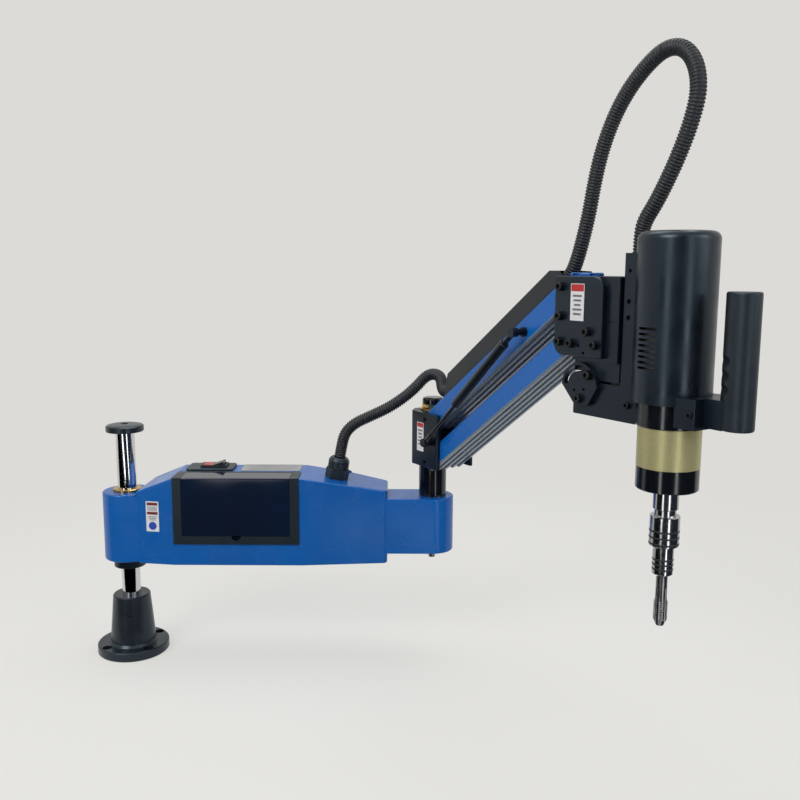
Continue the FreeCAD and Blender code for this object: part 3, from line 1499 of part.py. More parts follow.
# One hose runs from the gland to the head spine, through the cable cover. It is drawn in three lengths that
# meet face to face: the first moves with the housing, the second with the upper bar, the third with the link.
cover_hose_bends = [(150.0, -9.5, 27.0), (220.0, -5.0, 27.0), (290.0, 0.0, 27.0)]
cover_hose_start = (90.0, -9.5, 27.0)
cover_hose_end = (362.0, 0.0, 27.0)
cover_hose_route = [bar_point(*p) for p in [cover_hose_start] + cover_hose_bends + [cover_hose_end]]
elbow_hose_route = [
    (408.6, 0.0, 387.4), (411.9, 0.0, 407.7), (418.5, 0.0, 434.0), (437.0, 0.5, 452.5), (466.0, 1.0, 466.0),
    (499.0, 2.5, 481.0), (531.0, 4.5, 502.0), (553.0, 6.0, 521.5), (570.7, 7.0, 541.4), (582.5, 1.5, 547.5),
    (593.3, -7.9, 547.2), (600.1, -18.6, 540.4), (601.3, -30.5, 525.4), (605.1, -42.8, 520.0),
    (610.9, -55.4, 521.6), bar_point(73.0, -9.5, 27.0), bar_point(*cover_hose_start)]
# The third length leaves the cable cover at head_hose_turn; then (reach, side, height) in the arm frame.
head_hose_turn = (414.0, 0.0, 27.0)
head_hose_bends = [
    (366.5, 0.0, 750.0), (378.0, 0.5, 783.0), (389.5, 1.0, 824.0), (397.0, 2.0, 868.0),
    (408.0, 3.0, 911.0), (426.0, 4.0, 952.0), (450.0, 5.0, 987.0), (482.0, 6.0, 1016.0), (514.0, 6.0, 1032.5),
    (543.0, 6.0, 1028.0), (564.0, 5.5, 1004.5), (571.5, 5.0, 970.0), (563.0, 4.0, 933.0), (547.0, 3.0, 894.0),
    (530.0, 2.0, 861.0), (513.0, 1.0, 832.0), (495.0, 0.0, 808.0), (491.5, 0.0, spine_top + 20.5), (491.5, 0.0, spine_top)]
head_hose_route = [bar_point(*cover_hose_end), bar_point(*head_hose_turn)]
head_hose_route += [arm_point(*p) for p in head_hose_bends]


def main():
    os.makedirs("parts", exist_ok=True)
    save("base_flange", make_base_flange())
    save("post", make_post())
    save("post_cap", make_post_cap())
    save("stop_ring", make_stop_ring())
    save("stop_ring_screw", make_stop_ring_screw())
    save("arm_shell", make_arm_shell())
    save("post_bushes", make_post_bushes())
    save("rear_cover", make_rear_cover())
    save("display_frame", make_display_frame())
    save("display_screen", make_display_screen())
    save("display_cover", make_display_cover())
    save("switch_base", make_switch_base())
    save("power_rocker", make_power_rocker())
    save("power_supply", make_power_supply())
    save("servo_driver", make_servo_driver())
    save("power_inlet", make_power_inlet())
    save("gland_body", make_gland_body())
    save("gland_nut", make_gland_nut())
    save("elbow_bushes", make_elbow_bushes())
    save("elbow_column", make_elbow_column())
    save("elbow_retainer", make_elbow_retainer())
    save("elbow_head", make_elbow_head())
    save("elbow_nut", make_elbow_nut())
    save("elbow_cap", make_elbow_cap())
    save("elbow_pins", make_elbow_pins())
    save("upper_bar", make_bar(bar_above_pin_upper, bar_below_pin_upper, upper_pin_height,
                               far_pin_diameter / 2 + running_fit))
    save("lower_bar", make_bar(bar_above_pin_lower, bar_below_pin_lower, lower_pin_height,
                               far_pin_diameter / 2 + open_pin_clearance))
    save("cable_cover", make_cable_cover())
    save("spring_stud_lower", make_stud(spring_low_place(), head_half_width))
    save("spring_stud_upper", make_stud(spring_high_place(), bar_half_width))
    save("spring_cylinder", make_spring_cylinder())
    save("spring_rod", make_spring_rod())
    save("link_plate_front", make_link_plate(-1))
    save("link_plate_rear", make_link_plate(1))
    save("link_block", make_link_block())
    save("link_screws", make_link_screws())
    save("link_pins", make_link_pins())
    save("link_cap", make_link_cap())
    save("tilt_pin", make_tilt_pin())
    save("tilt_lock_bolt", make_tilt_lock_bolt())
    save("head_carriage", make_head_carriage())
    save("quadrant_plate", make_quadrant_plate())
    save("head_spine", make_head_spine())
    save("motor_cover", make_motor_cover())
    save("servo_motor", make_servo_motor())
    save("gearbox_ring", make_gearbox_ring())
    save("gear_housing", make_gear_housing())
    save("nose_ring", make_nose_ring())
    save("head_screws", make_head_screws())
    save("handle_bracket", make_handle_bracket())
    save("handle_grip", make_handle_grip())
    save("start_button", make_button(start_button_height))
    save("reverse_button", make_button(reverse_button_height))
    save("spindle", make_spindle())
    save("chuck_sleeve", make_chuck_sleeve())
    save("tap_collet", make_tap_collet())
    save("tap", make_tap())
    save("elbow_hose", hose_tube(elbow_hose_route, "elbow_hose"))
    save("cover_hose", hose_tube(cover_hose_route, "cover_hose"))
    save("head_hose", hose_tube(head_hose_route, "head_hose"))


main()
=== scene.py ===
import math

import bmesh
import bpy
from mathutils import Matrix, Vector


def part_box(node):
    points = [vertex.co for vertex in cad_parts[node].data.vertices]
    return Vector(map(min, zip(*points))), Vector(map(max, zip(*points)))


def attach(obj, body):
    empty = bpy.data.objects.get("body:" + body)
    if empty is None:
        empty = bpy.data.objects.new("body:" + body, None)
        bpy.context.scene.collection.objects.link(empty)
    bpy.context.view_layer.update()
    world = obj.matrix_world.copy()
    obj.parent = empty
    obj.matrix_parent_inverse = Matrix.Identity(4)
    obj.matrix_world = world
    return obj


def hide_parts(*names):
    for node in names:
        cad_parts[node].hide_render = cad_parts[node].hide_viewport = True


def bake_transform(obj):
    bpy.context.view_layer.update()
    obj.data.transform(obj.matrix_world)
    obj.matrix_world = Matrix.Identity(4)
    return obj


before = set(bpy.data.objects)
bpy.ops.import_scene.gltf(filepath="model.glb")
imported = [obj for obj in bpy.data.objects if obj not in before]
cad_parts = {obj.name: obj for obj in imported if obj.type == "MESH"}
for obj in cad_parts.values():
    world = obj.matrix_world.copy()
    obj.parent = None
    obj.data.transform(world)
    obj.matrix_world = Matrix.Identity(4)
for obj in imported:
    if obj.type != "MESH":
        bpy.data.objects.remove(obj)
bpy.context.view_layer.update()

MM = 0.001

# ---------------------------------------------------------------- places shared with the CAD
# Lengths are in millimetres, as in the sections on hoses, labels and rings.
ELBOW_X = 586.0
SWING = math.radians(-57.0)
LIFT = math.radians(35.5)
NEAR_PIN_REACH = 33.0
UPPER_PIN_HEIGHT = 469.0
LOWER_PIN_HEIGHT = 389.0
# How far under the line of its pins the flat sides of a bar end; below that the blue gives way to painted
# shade.
UPPER_BAR_SIDE_DROP = 20.3
LOWER_BAR_SIDE_DROP = 16.3
ELBOW_HEAD_FACE = 42.0
LINK_PLATE_FACE = 43.0
TOOL_REACH = 556.0
HOSE_DIAMETER = 22.0
ROCKER_SPLIT_X = 161.5

UP = Vector((0.0, 0.0, 1.0))
ROW_X = Vector((1.0, 0.0, 0.0))
ROW_Y = Vector((0.0, 1.0, 0.0))
ARM_X = Vector((math.cos(SWING), math.sin(SWING), 0.0))
BAR_UP = UP * math.cos(LIFT) - ARM_X * math.sin(LIFT)


def row_point(x, y, z):
    """Row point, in metres, from millimetres."""
    return Vector((x, y, z)) * MM


def arm_point(reach, side, height):
    """Row point, in metres, of a point of the arm frame in millimetres."""
    x = ELBOW_X + reach * math.cos(SWING) - side * math.sin(SWING)
    y = reach * math.sin(SWING) + side * math.cos(SWING)
    return row_point(x, y, height)


def bar_point(along, side, above):
    """Row point, in metres, of a point by the upper bar in millimetres."""
    reach = NEAR_PIN_REACH + along * math.cos(LIFT) - above * math.sin(LIFT)
    return arm_point(reach, side, UPPER_PIN_HEIGHT + along * math.sin(LIFT) + above * math.cos(LIFT))


# ================================================================ camera
FOCAL_PIXELS = 871.0
IMAGE_PIXELS = 800.0
SENSOR_WIDTH = 36.0
CLIP_START = 0.05
CLIP_END = 50.0
CAMERA_PLACE = row_point(523.0, -1629.0, 744.0)
CAMERA_DOWN = math.radians(8.6)
CAMERA_ROLL = math.radians(0.25)


def make_camera():
    data = bpy.data.cameras.new("camera")
    data.sensor_width = SENSOR_WIDTH
    data.lens = FOCAL_PIXELS / IMAGE_PIXELS * SENSOR_WIDTH
    data.clip_start = CLIP_START
    data.clip_end = CLIP_END
    camera = bpy.data.objects.new("camera", data)
    bpy.context.scene.collection.objects.link(camera)
    tilt = Matrix.Rotation(math.radians(90.0) - CAMERA_DOWN, 4, "X")
    roll = Matrix.Rotation(CAMERA_ROLL, 4, "Z")
    camera.matrix_world = Matrix.Translation(CAMERA_PLACE) @ tilt @ roll
    bpy.context.scene.camera = camera


make_camera()


# ================================================================ shader nodes
EVEN = (1.0, 1.0, 1.0)
LEAST_ROUGHNESS = 0.02
# Noise stays mostly between these two values.
NOISE_LOW = 0.3
NOISE_HIGH = 0.7
# A wave texture of scale 1 turns by this many radians in a metre.
WAVE_RATE = 20.0
MARK_STRENGTH = 0.5


def add_node(tree, kind, **values):
    """New node. Each value sets the input of that name, with spaces for underscores, or else a property."""
    made = tree.nodes.new(kind)
    for key, value in values.items():
        if key.replace("_", " ") in made.inputs:
            made.inputs[key.replace("_", " ")].default_value = value
        else:
            setattr(made, key, value)
    return made


def feed(tree, socket, value):
    """Sets an input to a value, or links an output to it."""
    if isinstance(value, bpy.types.NodeSocket):
        tree.links.new(value, socket)
    else:
        socket.default_value = value


def compute(tree, operation, first, second):
    """Output of a math node on two values or outputs."""
    made = add_node(tree, "ShaderNodeMath", operation=operation)
    feed(tree, made.inputs[0], first)
    feed(tree, made.inputs[1], second)
    return made.outputs["Value"]


def mix_colors(tree, share, first, second):
    """Output with the first colour where share is 0 and the second where it is 1."""
    made = add_node(tree, "ShaderNodeMix", data_type="RGBA")
    feed(tree, made.inputs[0], share)
    for socket, color in ((made.inputs[6], first), (made.inputs[7], second)):
        feed(tree, socket, color if isinstance(color, bpy.types.NodeSocket) else (*color, 1.0))
    return made.outputs[2]


class Shader:
    """A node material built round one Principled shader."""

    def __init__(self, name, color, roughness, metallic=0.0, **sockets):
        self.material = bpy.data.materials.new(name)
        self.material.use_nodes = True
        self.tree = self.material.node_tree
        self.inputs = self.tree.nodes["Principled BSDF"].inputs
        self.inputs["Base Color"].default_value = (*color, 1.0)
        self.inputs["Roughness"].default_value = roughness
        self.inputs["Metallic"].default_value = metallic
        for socket, value in sockets.items():
            self.inputs[socket.replace("_", " ")].default_value = value
        self.color = color
        self.roughness = roughness
        self.relief = None

    def link(self, source, socket_name):
        self.tree.links.new(source, self.inputs[socket_name])
        return self

    def place(self):
        """Object coordinates, which are row metres on every CAD node."""
        return add_node(self.tree, "ShaderNodeTexCoord").outputs["Object"]

    def coords(self, stretch=EVEN):
        mapping = add_node(self.tree, "ShaderNodeMapping", Scale=stretch)
        feed(self.tree, mapping.inputs["Vector"], self.place())
        return mapping.outputs["Vector"]

    def noise(self, scale, stretch, detail=3.0):
        made = add_node(self.tree, "ShaderNodeTexNoise", Scale=scale, Detail=detail, Roughness=0.5)
        feed(self.tree, made.inputs["Vector"], self.coords(stretch))
        return made.outputs["Fac"]

    def spread(self, scale, stretch, low, high):
        """Noise whose usual values run from low to high."""
        made = add_node(self.tree, "ShaderNodeMapRange", From_Min=NOISE_LOW, From_Max=NOISE_HIGH,
                        To_Min=low, To_Max=high)
        feed(self.tree, made.inputs["Value"], self.noise(scale, stretch))
        return made.outputs["Result"]

    def vary_color(self, scale, other):
        """Mottles the base colour towards another."""
        share = self.spread(scale, EVEN, 0.0, 1.0)
        return self.link(mix_colors(self.tree, share, self.color, other), "Base Color")

    def vary_roughness(self, scale, amount, stretch=EVEN):
        low = max(LEAST_ROUGHNESS, self.roughness - amount)
        high = min(1.0, self.roughness + amount)
        return self.link(self.spread(scale, stretch, low, high), "Roughness")

    def two_tone_and_shade(self, share, other):
        """The base colour where share is 0 and another where it is 1, for real two tones and for painted
        shade.
        """
        return self.link(mix_colors(self.tree, share, self.color, other), "Base Color")

    def add_relief(self, height, depth_mm, strength):
        made = add_node(self.tree, "ShaderNodeBump", Strength=strength, Distance=depth_mm * MM)
        feed(self.tree, made.inputs["Height"], height)
        if self.relief is not None:
            feed(self.tree, made.inputs["Normal"], self.relief)
        self.relief = made.outputs["Normal"]
        return self.link(self.relief, "Normal")

    def bump(self, scale, depth_mm, strength, detail=2.0):
        """Adds a layer of fine relief."""
        return self.add_relief(self.noise(scale, EVEN, detail), depth_mm, strength)

    def turning_marks(self, pitch_mm, depth_mm):
        """Adds faint rings round a vertical axis."""
        wave = add_node(self.tree, "ShaderNodeTexWave", wave_type="BANDS", bands_direction="Z",
                        Scale=2 * math.pi / (pitch_mm * MM) / WAVE_RATE, Distortion=0.6, Detail=2.0)
        feed(self.tree, wave.inputs["Vector"], self.coords())
        return self.add_relief(wave.outputs["Fac"], depth_mm, MARK_STRENGTH)


# ================================================================ materials
BLUE = (0.0020, 0.106, 0.405)
# Grey-blue painted shade and painted dark reflection for the undersides of the arm bars.
BAR_UNDERSIDE_PAINTED_SHADE = (0.155, 0.195, 0.245)
BLACK = (0.0030, 0.0058, 0.0115)
SIGNAL_RED = (0.42, 0.018, 0.022)
COOL = (0.66, 0.84, 1.0, 1.0)
COAT_MOTTLE = 0.86


def powder_coat(name, color, roughness, grain=900.0, **sockets):
    """Slight mottle, orange peel and uneven gloss."""
    dark = tuple(c * COAT_MOTTLE for c in color)
    shader = Shader(name, color, roughness, **sockets).vary_color(9.0, dark).vary_roughness(30.0, 0.06)
    return shader.bump(grain, 0.05, 0.25).material


def blue_paint():
    return powder_coat("blue_paint", BLUE, 0.24, Specular_IOR_Level=0.36)


def bar_blue_and_painted_shade(name, pin_height, drop):
    """Blue paint down to a drop under the line of the pins, and below it grey-blue painted shade and dark
    reflection.
    """
    shader = Shader(name, BLUE, 0.26)
    depth = add_node(shader.tree, "ShaderNodeVectorMath", operation="DOT_PRODUCT")
    feed(shader.tree, depth.inputs[0], shader.place())
    depth.inputs[1].default_value = BAR_UP
    edge = arm_point(NEAR_PIN_REACH, 0.0, pin_height).dot(BAR_UP) - drop * MM
    # Under this edge the bar's underside gets painted grey-blue shade in place of its blue.
    shader.two_tone_and_shade(compute(shader.tree, "LESS_THAN", depth.outputs["Value"], edge), BAR_UNDERSIDE_PAINTED_SHADE)
    return shader.vary_roughness(30.0, 0.05).bump(900.0, 0.05, 0.25).material


def black_paint():
    return powder_coat("black_paint", BLACK, 0.34, grain=1400.0, Specular_Tint=COOL)


def black_cover():
    return powder_coat("black_cover", (0.0050, 0.0078, 0.0130), 0.31, grain=1200.0, Specular_Tint=COOL)


def black_enamel():
    return powder_coat("black_enamel", (0.0120, 0.0160, 0.0215), 0.30, Specular_Tint=COOL)


def black_gloss():
    return powder_coat("black_gloss", (0.0030, 0.0042, 0.0070), 0.15)


def black_plastic():
    return powder_coat("black_plastic", (0.0110, 0.0155, 0.0200), 0.40, grain=2600.0, Specular_Tint=COOL)


def grip_plastic():
    shader = Shader("grip_plastic", (0.0105, 0.0140, 0.0180), 0.42, Specular_Tint=COOL)
    return shader.vary_color(40.0, (0.0070, 0.0090, 0.0120)).bump(2200.0, 0.10, 0.45, 4.0).material


def cover_sheet():
    return powder_coat("cover_sheet", (0.0090, 0.0125, 0.0180), 0.38, grain=1500.0)


def smoked_acrylic():
    shader = Shader("smoked_acrylic", (0.0038, 0.0130, 0.0360), 0.06, IOR=1.49)
    return shader.vary_color(4.0, (0.0060, 0.0090, 0.0200)).vary_roughness(12.0, 0.02).material


def screen_glass():
    shader = Shader("screen_glass", (0.0038, 0.0130, 0.0360), 0.05)
    return shader.vary_color(5.0, (0.0060, 0.0090, 0.0200)).vary_roughness(8.0, 0.02).material


def chrome():
    shader = Shader("chrome", (0.66, 0.67, 0.69), 0.08, 1.0)
    return shader.vary_roughness(60.0, 0.03, (1.0, 1.0, 6.0)).turning_marks(5.027, 0.003).material


def turned_steel():
    shader = Shader("turned_steel", (0.52, 0.52, 0.53), 0.17, 1.0)
    return shader.vary_color(30.0, (0.42, 0.42, 0.43)).turning_marks(6.912, 0.01).material


def ground_steel():
    shader = Shader("ground_steel", (0.30, 0.30, 0.31), 0.28, 1.0)
    return shader.vary_color(120.0, (0.20, 0.19, 0.185)).bump(700.0, 0.06, 0.4).material


def brass():
    shader = Shader("brass", (0.62, 0.42, 0.15), 0.20, 1.0)
    return shader.vary_color(60.0, (0.50, 0.32, 0.10)).bump(500.0, 0.03, 0.3).material


def gold_anodised():
    shader = Shader("gold_anodised", (0.50, 0.46, 0.235), 0.40, 0.6)
    return shader.vary_color(700.0, (0.39, 0.355, 0.175)).bump(1500.0, 0.06, 0.5).material


def black_anodised():
    shader = Shader("black_anodised", (0.0032, 0.0046, 0.0070), 0.16)
    return shader.vary_roughness(60.0, 0.04).turning_marks(7.540, 0.004).material


def screw_black():
    shader = Shader("screw_black", (0.0060, 0.0072, 0.0095), 0.30, 0.35)
    return shader.vary_roughness(200.0, 0.08).bump(900.0, 0.04, 0.4).material


def red_plastic():
    shader = Shader("red_plastic", SIGNAL_RED, 0.28)
    return shader.vary_color(50.0, (0.33, 0.012, 0.016)).bump(1500.0, 0.03, 0.3).material


def green_plastic():
    shader = Shader("green_plastic", (0.02, 0.20, 0.05), 0.30)
    return shader.vary_color(50.0, (0.015, 0.16, 0.04)).bump(1500.0, 0.03, 0.3).material


def rocker_plastic():
    """Red left of the rocker's ridge and black right of it."""
    shader = Shader("rocker_plastic", SIGNAL_RED, 0.30)
    parts = add_node(shader.tree, "ShaderNodeSeparateXYZ")
    feed(shader.tree, parts.inputs["Vector"], shader.place())
    right = compute(shader.tree, "GREATER_THAN", parts.outputs["X"], ROCKER_SPLIT_X * MM)
    return shader.two_tone_and_shade(right, (0.012, 0.014, 0.017)).bump(1500.0, 0.03, 0.3).material


def grey_box():
    return powder_coat("grey_box", (0.16, 0.165, 0.175), 0.45, grain=1200.0)


def hose_rubber():
    shader = Shader("hose_rubber", (0.0085, 0.0110, 0.0155), 0.50, Specular_IOR_Level=0.38)
    shader.vary_color(70.0, (0.0130, 0.0155, 0.0200)).vary_roughness(120.0, 0.08)
    return shader.bump(1600.0, 0.05, 0.4).material


def ring_rubber():
    shader = Shader("ring_rubber", (0.006, 0.006, 0.007), 0.50)
    return shader.vary_roughness(120.0, 0.08).bump(1600.0, 0.03, 0.3).material


def silver_plate():
    shader = Shader("silver_plate", (0.36, 0.37, 0.37), 0.36, 0.4)
    return shader.vary_color(25.0, (0.29, 0.30, 0.30)).vary_roughness(200.0, 0.06, (12.0, 1.0, 1.0)).material


def print_ink(name, color, other, roughness, scale=80.0):
    """Printed or bare surface of a label."""
    return Shader(name, color, roughness).vary_color(scale, other).bump(900.0, 0.02, 0.3).material


LABEL_WHITE = print_ink("label_white", (0.72, 0.72, 0.72), (0.64, 0.64, 0.65), 0.32, 60.0)
LABEL_RED = print_ink("label_red", (0.48, 0.018, 0.020), (0.40, 0.014, 0.016), 0.34)
LABEL_MAROON = print_ink("label_maroon", (0.17, 0.028, 0.030), (0.13, 0.02, 0.022), 0.36)
LABEL_BLUE = print_ink("label_blue", (0.02, 0.07, 0.42), (0.016, 0.055, 0.35), 0.34)
LABEL_PALE = print_ink("label_pale", (0.42, 0.42, 0.43), (0.36, 0.36, 0.37), 0.36)
LABEL_GREY = print_ink("label_grey", (0.16, 0.16, 0.17), (0.12, 0.12, 0.13), 0.40)
HOSE_RUBBER = hose_rubber()
RING_RUBBER = ring_rubber()
SILVER_PLATE = silver_plate()

NODE_MATERIALS = [
    (blue_paint(), ["arm_shell", "rear_cover", "link_cap"]),
    (bar_blue_and_painted_shade("upper_bar_blue_and_painted_shade", UPPER_PIN_HEIGHT, UPPER_BAR_SIDE_DROP), ["upper_bar"]),
    (bar_blue_and_painted_shade("lower_bar_blue_and_painted_shade", LOWER_PIN_HEIGHT, LOWER_BAR_SIDE_DROP), ["lower_bar"]),
    (black_gloss(), ["elbow_cap", "elbow_column", "elbow_bushes", "gearbox_ring"]),
    (black_enamel(), ["base_flange", "post_cap"]),
    (black_cover(), ["motor_cover", "spring_cylinder"]),
    (black_paint(), ["stop_ring", "elbow_head", "link_plate_front", "link_plate_rear", "link_block",
                     "head_carriage", "head_spine", "handle_bracket", "quadrant_plate"]),
    (black_plastic(), ["display_frame", "switch_base", "power_inlet", "gland_body", "gland_nut"]),
    (cover_sheet(), ["cable_cover"]),
    (grip_plastic(), ["handle_grip"]),
    (smoked_acrylic(), ["display_cover"]),
    (screen_glass(), ["display_screen"]),
    (chrome(), ["post"]),
    (turned_steel(), ["spindle", "chuck_sleeve", "tap_collet", "elbow_retainer", "tilt_pin"]),
    (ground_steel(), ["tap"]),
    (brass(), ["post_bushes", "elbow_nut"]),
    (gold_anodised(), ["gear_housing"]),
    (black_anodised(), ["nose_ring", "spring_rod"]),
    (screw_black(), ["stop_ring_screw", "elbow_pins", "link_screws", "link_pins", "tilt_lock_bolt",
                     "head_screws", "spring_stud_lower", "spring_stud_upper"]),
    (red_plastic(), ["reverse_button"]),
    (rocker_plastic(), ["power_rocker"]),
    (green_plastic(), ["start_button"]),
    (grey_box(), ["servo_driver", "power_supply", "servo_motor"]),
]


def paint(obj, material):
    if not obj.material_slots:
        obj.data.materials.append(material)
    for slot in obj.material_slots:
        slot.material = material


for material, nodes in NODE_MATERIALS:
    for node in nodes:
        paint(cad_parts[node], material)

# Softened edges on the machined and moulded pieces, by their width in millimetres.
EDGE_ROUNDS = {
    0.6: ["elbow_head", "link_plate_front", "link_plate_rear", "link_block", "head_carriage", "head_spine",
          "handle_bracket", "quadrant_plate", "link_cap", "display_frame"],
    0.3: ["switch_base", "display_cover", "base_flange", "stop_ring", "gland_body", "rear_cover"],
}
EDGE_SEGMENTS = 2
EDGE_ANGLE = math.radians(40.0)


def round_edges(obj, width):
    bevel = obj.modifiers.new("edges", "BEVEL")
    bevel.width = width * MM
    bevel.segments = EDGE_SEGMENTS
    bevel.limit_method = "ANGLE"
    bevel.angle_limit = EDGE_ANGLE
    bevel.harden_normals = True


for width, nodes in EDGE_ROUNDS.items():
    for node in nodes:
        round_edges(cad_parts[node], width)


# ================================================================ mesh helpers
def skin_mesh(name, rings, closed=False, smooth=True):
    """Mesh over rings of points. Its ends are joined where it is closed, and capped where it isn't."""
    built = bmesh.new()
    rings = [[built.verts.new(point) for point in ring] for ring in rings]
    following = rings[1:] + rings[:1] if closed else rings[1:]
    for low, high in zip(rings, following):
        for k in range(len(low)):
            n = (k + 1) % len(low)
            built.faces.new((low[k], low[n], high[n], high[k]))
    if not closed:
        built.faces.new(list(reversed(rings[0])))
        built.faces.new(rings[-1])
    mesh = bpy.data.meshes.new(name)
    built.to_mesh(mesh)
    built.free()
    for polygon in mesh.polygons:
        polygon.use_smooth = smooth
    return mesh


def add_object(name, mesh, material):
    obj = bpy.data.objects.new(name, mesh)
    bpy.context.scene.collection.objects.link(obj)
    obj.data.materials.append(material)
    return obj


def add_piece(name, mesh, material, body):
    """Puts a mesh in the scene on a body, with its material."""
    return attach(add_object(name, mesh, material), body)


def circle(centre, side, other, radius, sides):
    """Points round a centre, from one direction towards the other."""
    points = []
    for k in range(sides):
        angle = 2 * math.pi * k / sides
        points.append(centre + (side * math.cos(angle) + other * math.sin(angle)) * radius)
    return points


CORNER_STEPS = 5
RIM_SHARE = 0.3


def rounded_plate(name, centre, across, up, size, thickness, corner, material, body):
    """Thin plate with round corners: centre of its back face, and its two in-plane directions."""
    width, height = size
    out = across.cross(up)
    outline = []
    for sx, sy, first in ((1, 1, 0), (-1, 1, 90), (-1, -1, 180), (1, -1, 270)):
        for k in range(CORNER_STEPS + 1):
            angle = math.radians(first + 90.0 * k / CORNER_STEPS)
            x = sx * (width / 2 - corner) + corner * math.cos(angle)
            y = sy * (height / 2 - corner) + corner * math.sin(angle)
            outline.append(centre + (across * x + up * y) * MM)
    front = [p + out * thickness * MM for p in outline]
    inner = [p + (centre - q).normalized() * thickness * RIM_SHARE * MM for p, q in zip(front, outline)]
    add_piece(name, skin_mesh(name, [outline, front, inner], smooth=False), material, body)


DISC_SIDES = 40
DISC_BEVEL = 0.4


def disc(name, centre, out, radius, thickness, material, body):
    """Thin round disc with a bevelled rim, standing on a face."""
    side = out.orthogonal().normalized()
    other = out.cross(side)
    bevel = thickness * DISC_BEVEL
    rows = [(radius, 0.0), (radius, thickness - bevel), (radius - bevel, thickness)]
    rings = [circle(centre + out * z * MM, side, other, r * MM, DISC_SIDES) for r, z in rows]
    add_piece(name, skin_mesh(name, rings, smooth=False), material, body)


# ================================================================ hoses
# The routes are those of the CAD, in millimetres.
ELBOW_HOSE = [row_point(*p) for p in (
    (408.6, 0.0, 387.4), (411.9, 0.0, 407.7), (418.5, 0.0, 434.0), (437.0, 0.5, 452.5), (466.0, 1.0, 466.0),
    (499.0, 2.5, 481.0), (531.0, 4.5, 502.0), (553.0, 6.0, 521.5), (570.7, 7.0, 541.4), (582.5, 1.5, 547.5),
    (593.3, -7.9, 547.2), (600.1, -18.6, 540.4), (601.3, -30.5, 525.4), (605.1, -42.8, 520.0),
    (610.9, -55.4, 521.6))] + [bar_point(73.0, -9.5, 27.0), bar_point(90.0, -9.5, 27.0)]
COVER_HOSE = [bar_point(*p) for p in (
    (90.0, -9.5, 27.0), (150.0, -9.5, 27.0), (220.0, -5.0, 27.0), (290.0, 0.0, 27.0), (362.0, 0.0, 27.0))]
HEAD_HOSE = [bar_point(362.0, 0.0, 27.0), bar_point(414.0, 0.0, 27.0)] + [arm_point(*p) for p in (
    (366.5, 0.0, 750.0), (378.0, 0.5, 783.0), (389.5, 1.0, 824.0), (397.0, 2.0, 868.0),
    (408.0, 3.0, 911.0), (426.0, 4.0, 952.0), (450.0, 5.0, 987.0), (482.0, 6.0, 1016.0), (514.0, 6.0, 1032.5),
    (543.0, 6.0, 1028.0), (564.0, 5.5, 1004.5), (571.5, 5.0, 970.0), (563.0, 4.0, 933.0), (547.0, 3.0, 894.0),
    (530.0, 2.0, 861.0), (513.0, 1.0, 832.0), (495.0, 0.0, 808.0), (491.5, 0.0, 786.5), (491.5, 0.0, 766.0))]
RIB_PITCH = 4.4
RIB_DEPTH = 1.9
RIB_SHAPE = (0.0, 0.85, 1.0, 0.85)
HOSE_SIDES = 28
CURVE_ORDER = 3
CURVE_STEPS = 24

# Each free hose crosses two joints, so it is cut at a share of its length. Each of its two lengths is listed
# with the body it leaves, the body it reaches and two points between them, which the script doesn't use.
ELBOW_HOSE_CUT = 0.60
ELBOW_HOSE_BENDS = (
    ("elbow_conduit", "swing_arm", "elbow", row_point(425.0, 0.0, 500.0), row_point(555.0, 0.0, 500.0)),
    ("elbow_conduit_end", "elbow", "upper_arm", arm_point(2.0, 0.0, 530.0), arm_point(72.0, 0.0, 530.0)))
HEAD_HOSE_CUT = 0.56
HEAD_HOSE_BENDS = (
    ("head_conduit", "upper_arm", "link", arm_point(366.0, 0.0, 745.0), arm_point(366.0, 0.0, 830.0)),
    ("head_conduit_end", "link", "head", arm_point(520.0, 0.0, 1020.0), arm_point(520.0, 0.0, 800.0)))


def nurbs_line(points):
    """Points along the smooth NURBS curve of a route."""
    curve = bpy.data.curves.new("route", "CURVE")
    curve.dimensions = "3D"
    curve.resolution_u = CURVE_STEPS
    spline = curve.splines.new("NURBS")
    spline.points.add(len(points) - 1)
    for target, point in zip(spline.points, points):
        target.co = (*point, 1.0)
    spline.order_u = CURVE_ORDER
    spline.use_endpoint_u = True
    carrier = bpy.data.objects.new("route", curve)
    bpy.context.scene.collection.objects.link(carrier)
    bpy.context.view_layer.update()
    mesh = bpy.data.meshes.new_from_object(carrier.evaluated_get(bpy.context.evaluated_depsgraph_get()))
    line = [v.co.copy() for v in mesh.vertices]
    bpy.data.objects.remove(carrier)
    bpy.data.curves.remove(curve)
    bpy.data.meshes.remove(mesh)
    return line


def resample(line, step):
    """Points at even distances along a line."""
    lengths = [0.0]
    for a, b in zip(line, line[1:]):
        lengths.append(lengths[-1] + (b - a).length)
    count = max(2, round(lengths[-1] / step))
    places = []
    k = 0
    for i in range(count + 1):
        at = lengths[-1] * i / count
        while k < len(lengths) - 2 and lengths[k + 1] < at:
            k += 1
        share = (at - lengths[k]) / (lengths[k + 1] - lengths[k])
        places.append(line[k].lerp(line[k + 1], min(1.0, share)))
    return places


def hose_places(route):
    """Centres of a hose's rings, a few to each rib."""
    return resample(nurbs_line(route), RIB_PITCH * MM / len(RIB_SHAPE))


def conduit_mesh(name, places, first=0):
    """Corrugated tube whose radius rises and falls once in each rib. first is its first ring's number."""
    side = (places[1] - places[0]).orthogonal().normalized()
    rings = []
    for i, place in enumerate(places):
        direction = (places[min(i + 1, len(places) - 1)] - places[max(i - 1, 0)]).normalized()
        side = (side - direction * side.dot(direction)).normalized()
        valley = RIB_DEPTH * (1.0 - RIB_SHAPE[(first + i) % len(RIB_SHAPE)])
        radius = (HOSE_DIAMETER / 2 - valley) * MM
        rings.append(circle(place, side, direction.cross(side), radius, HOSE_SIDES))
    return skin_mesh(name, rings)


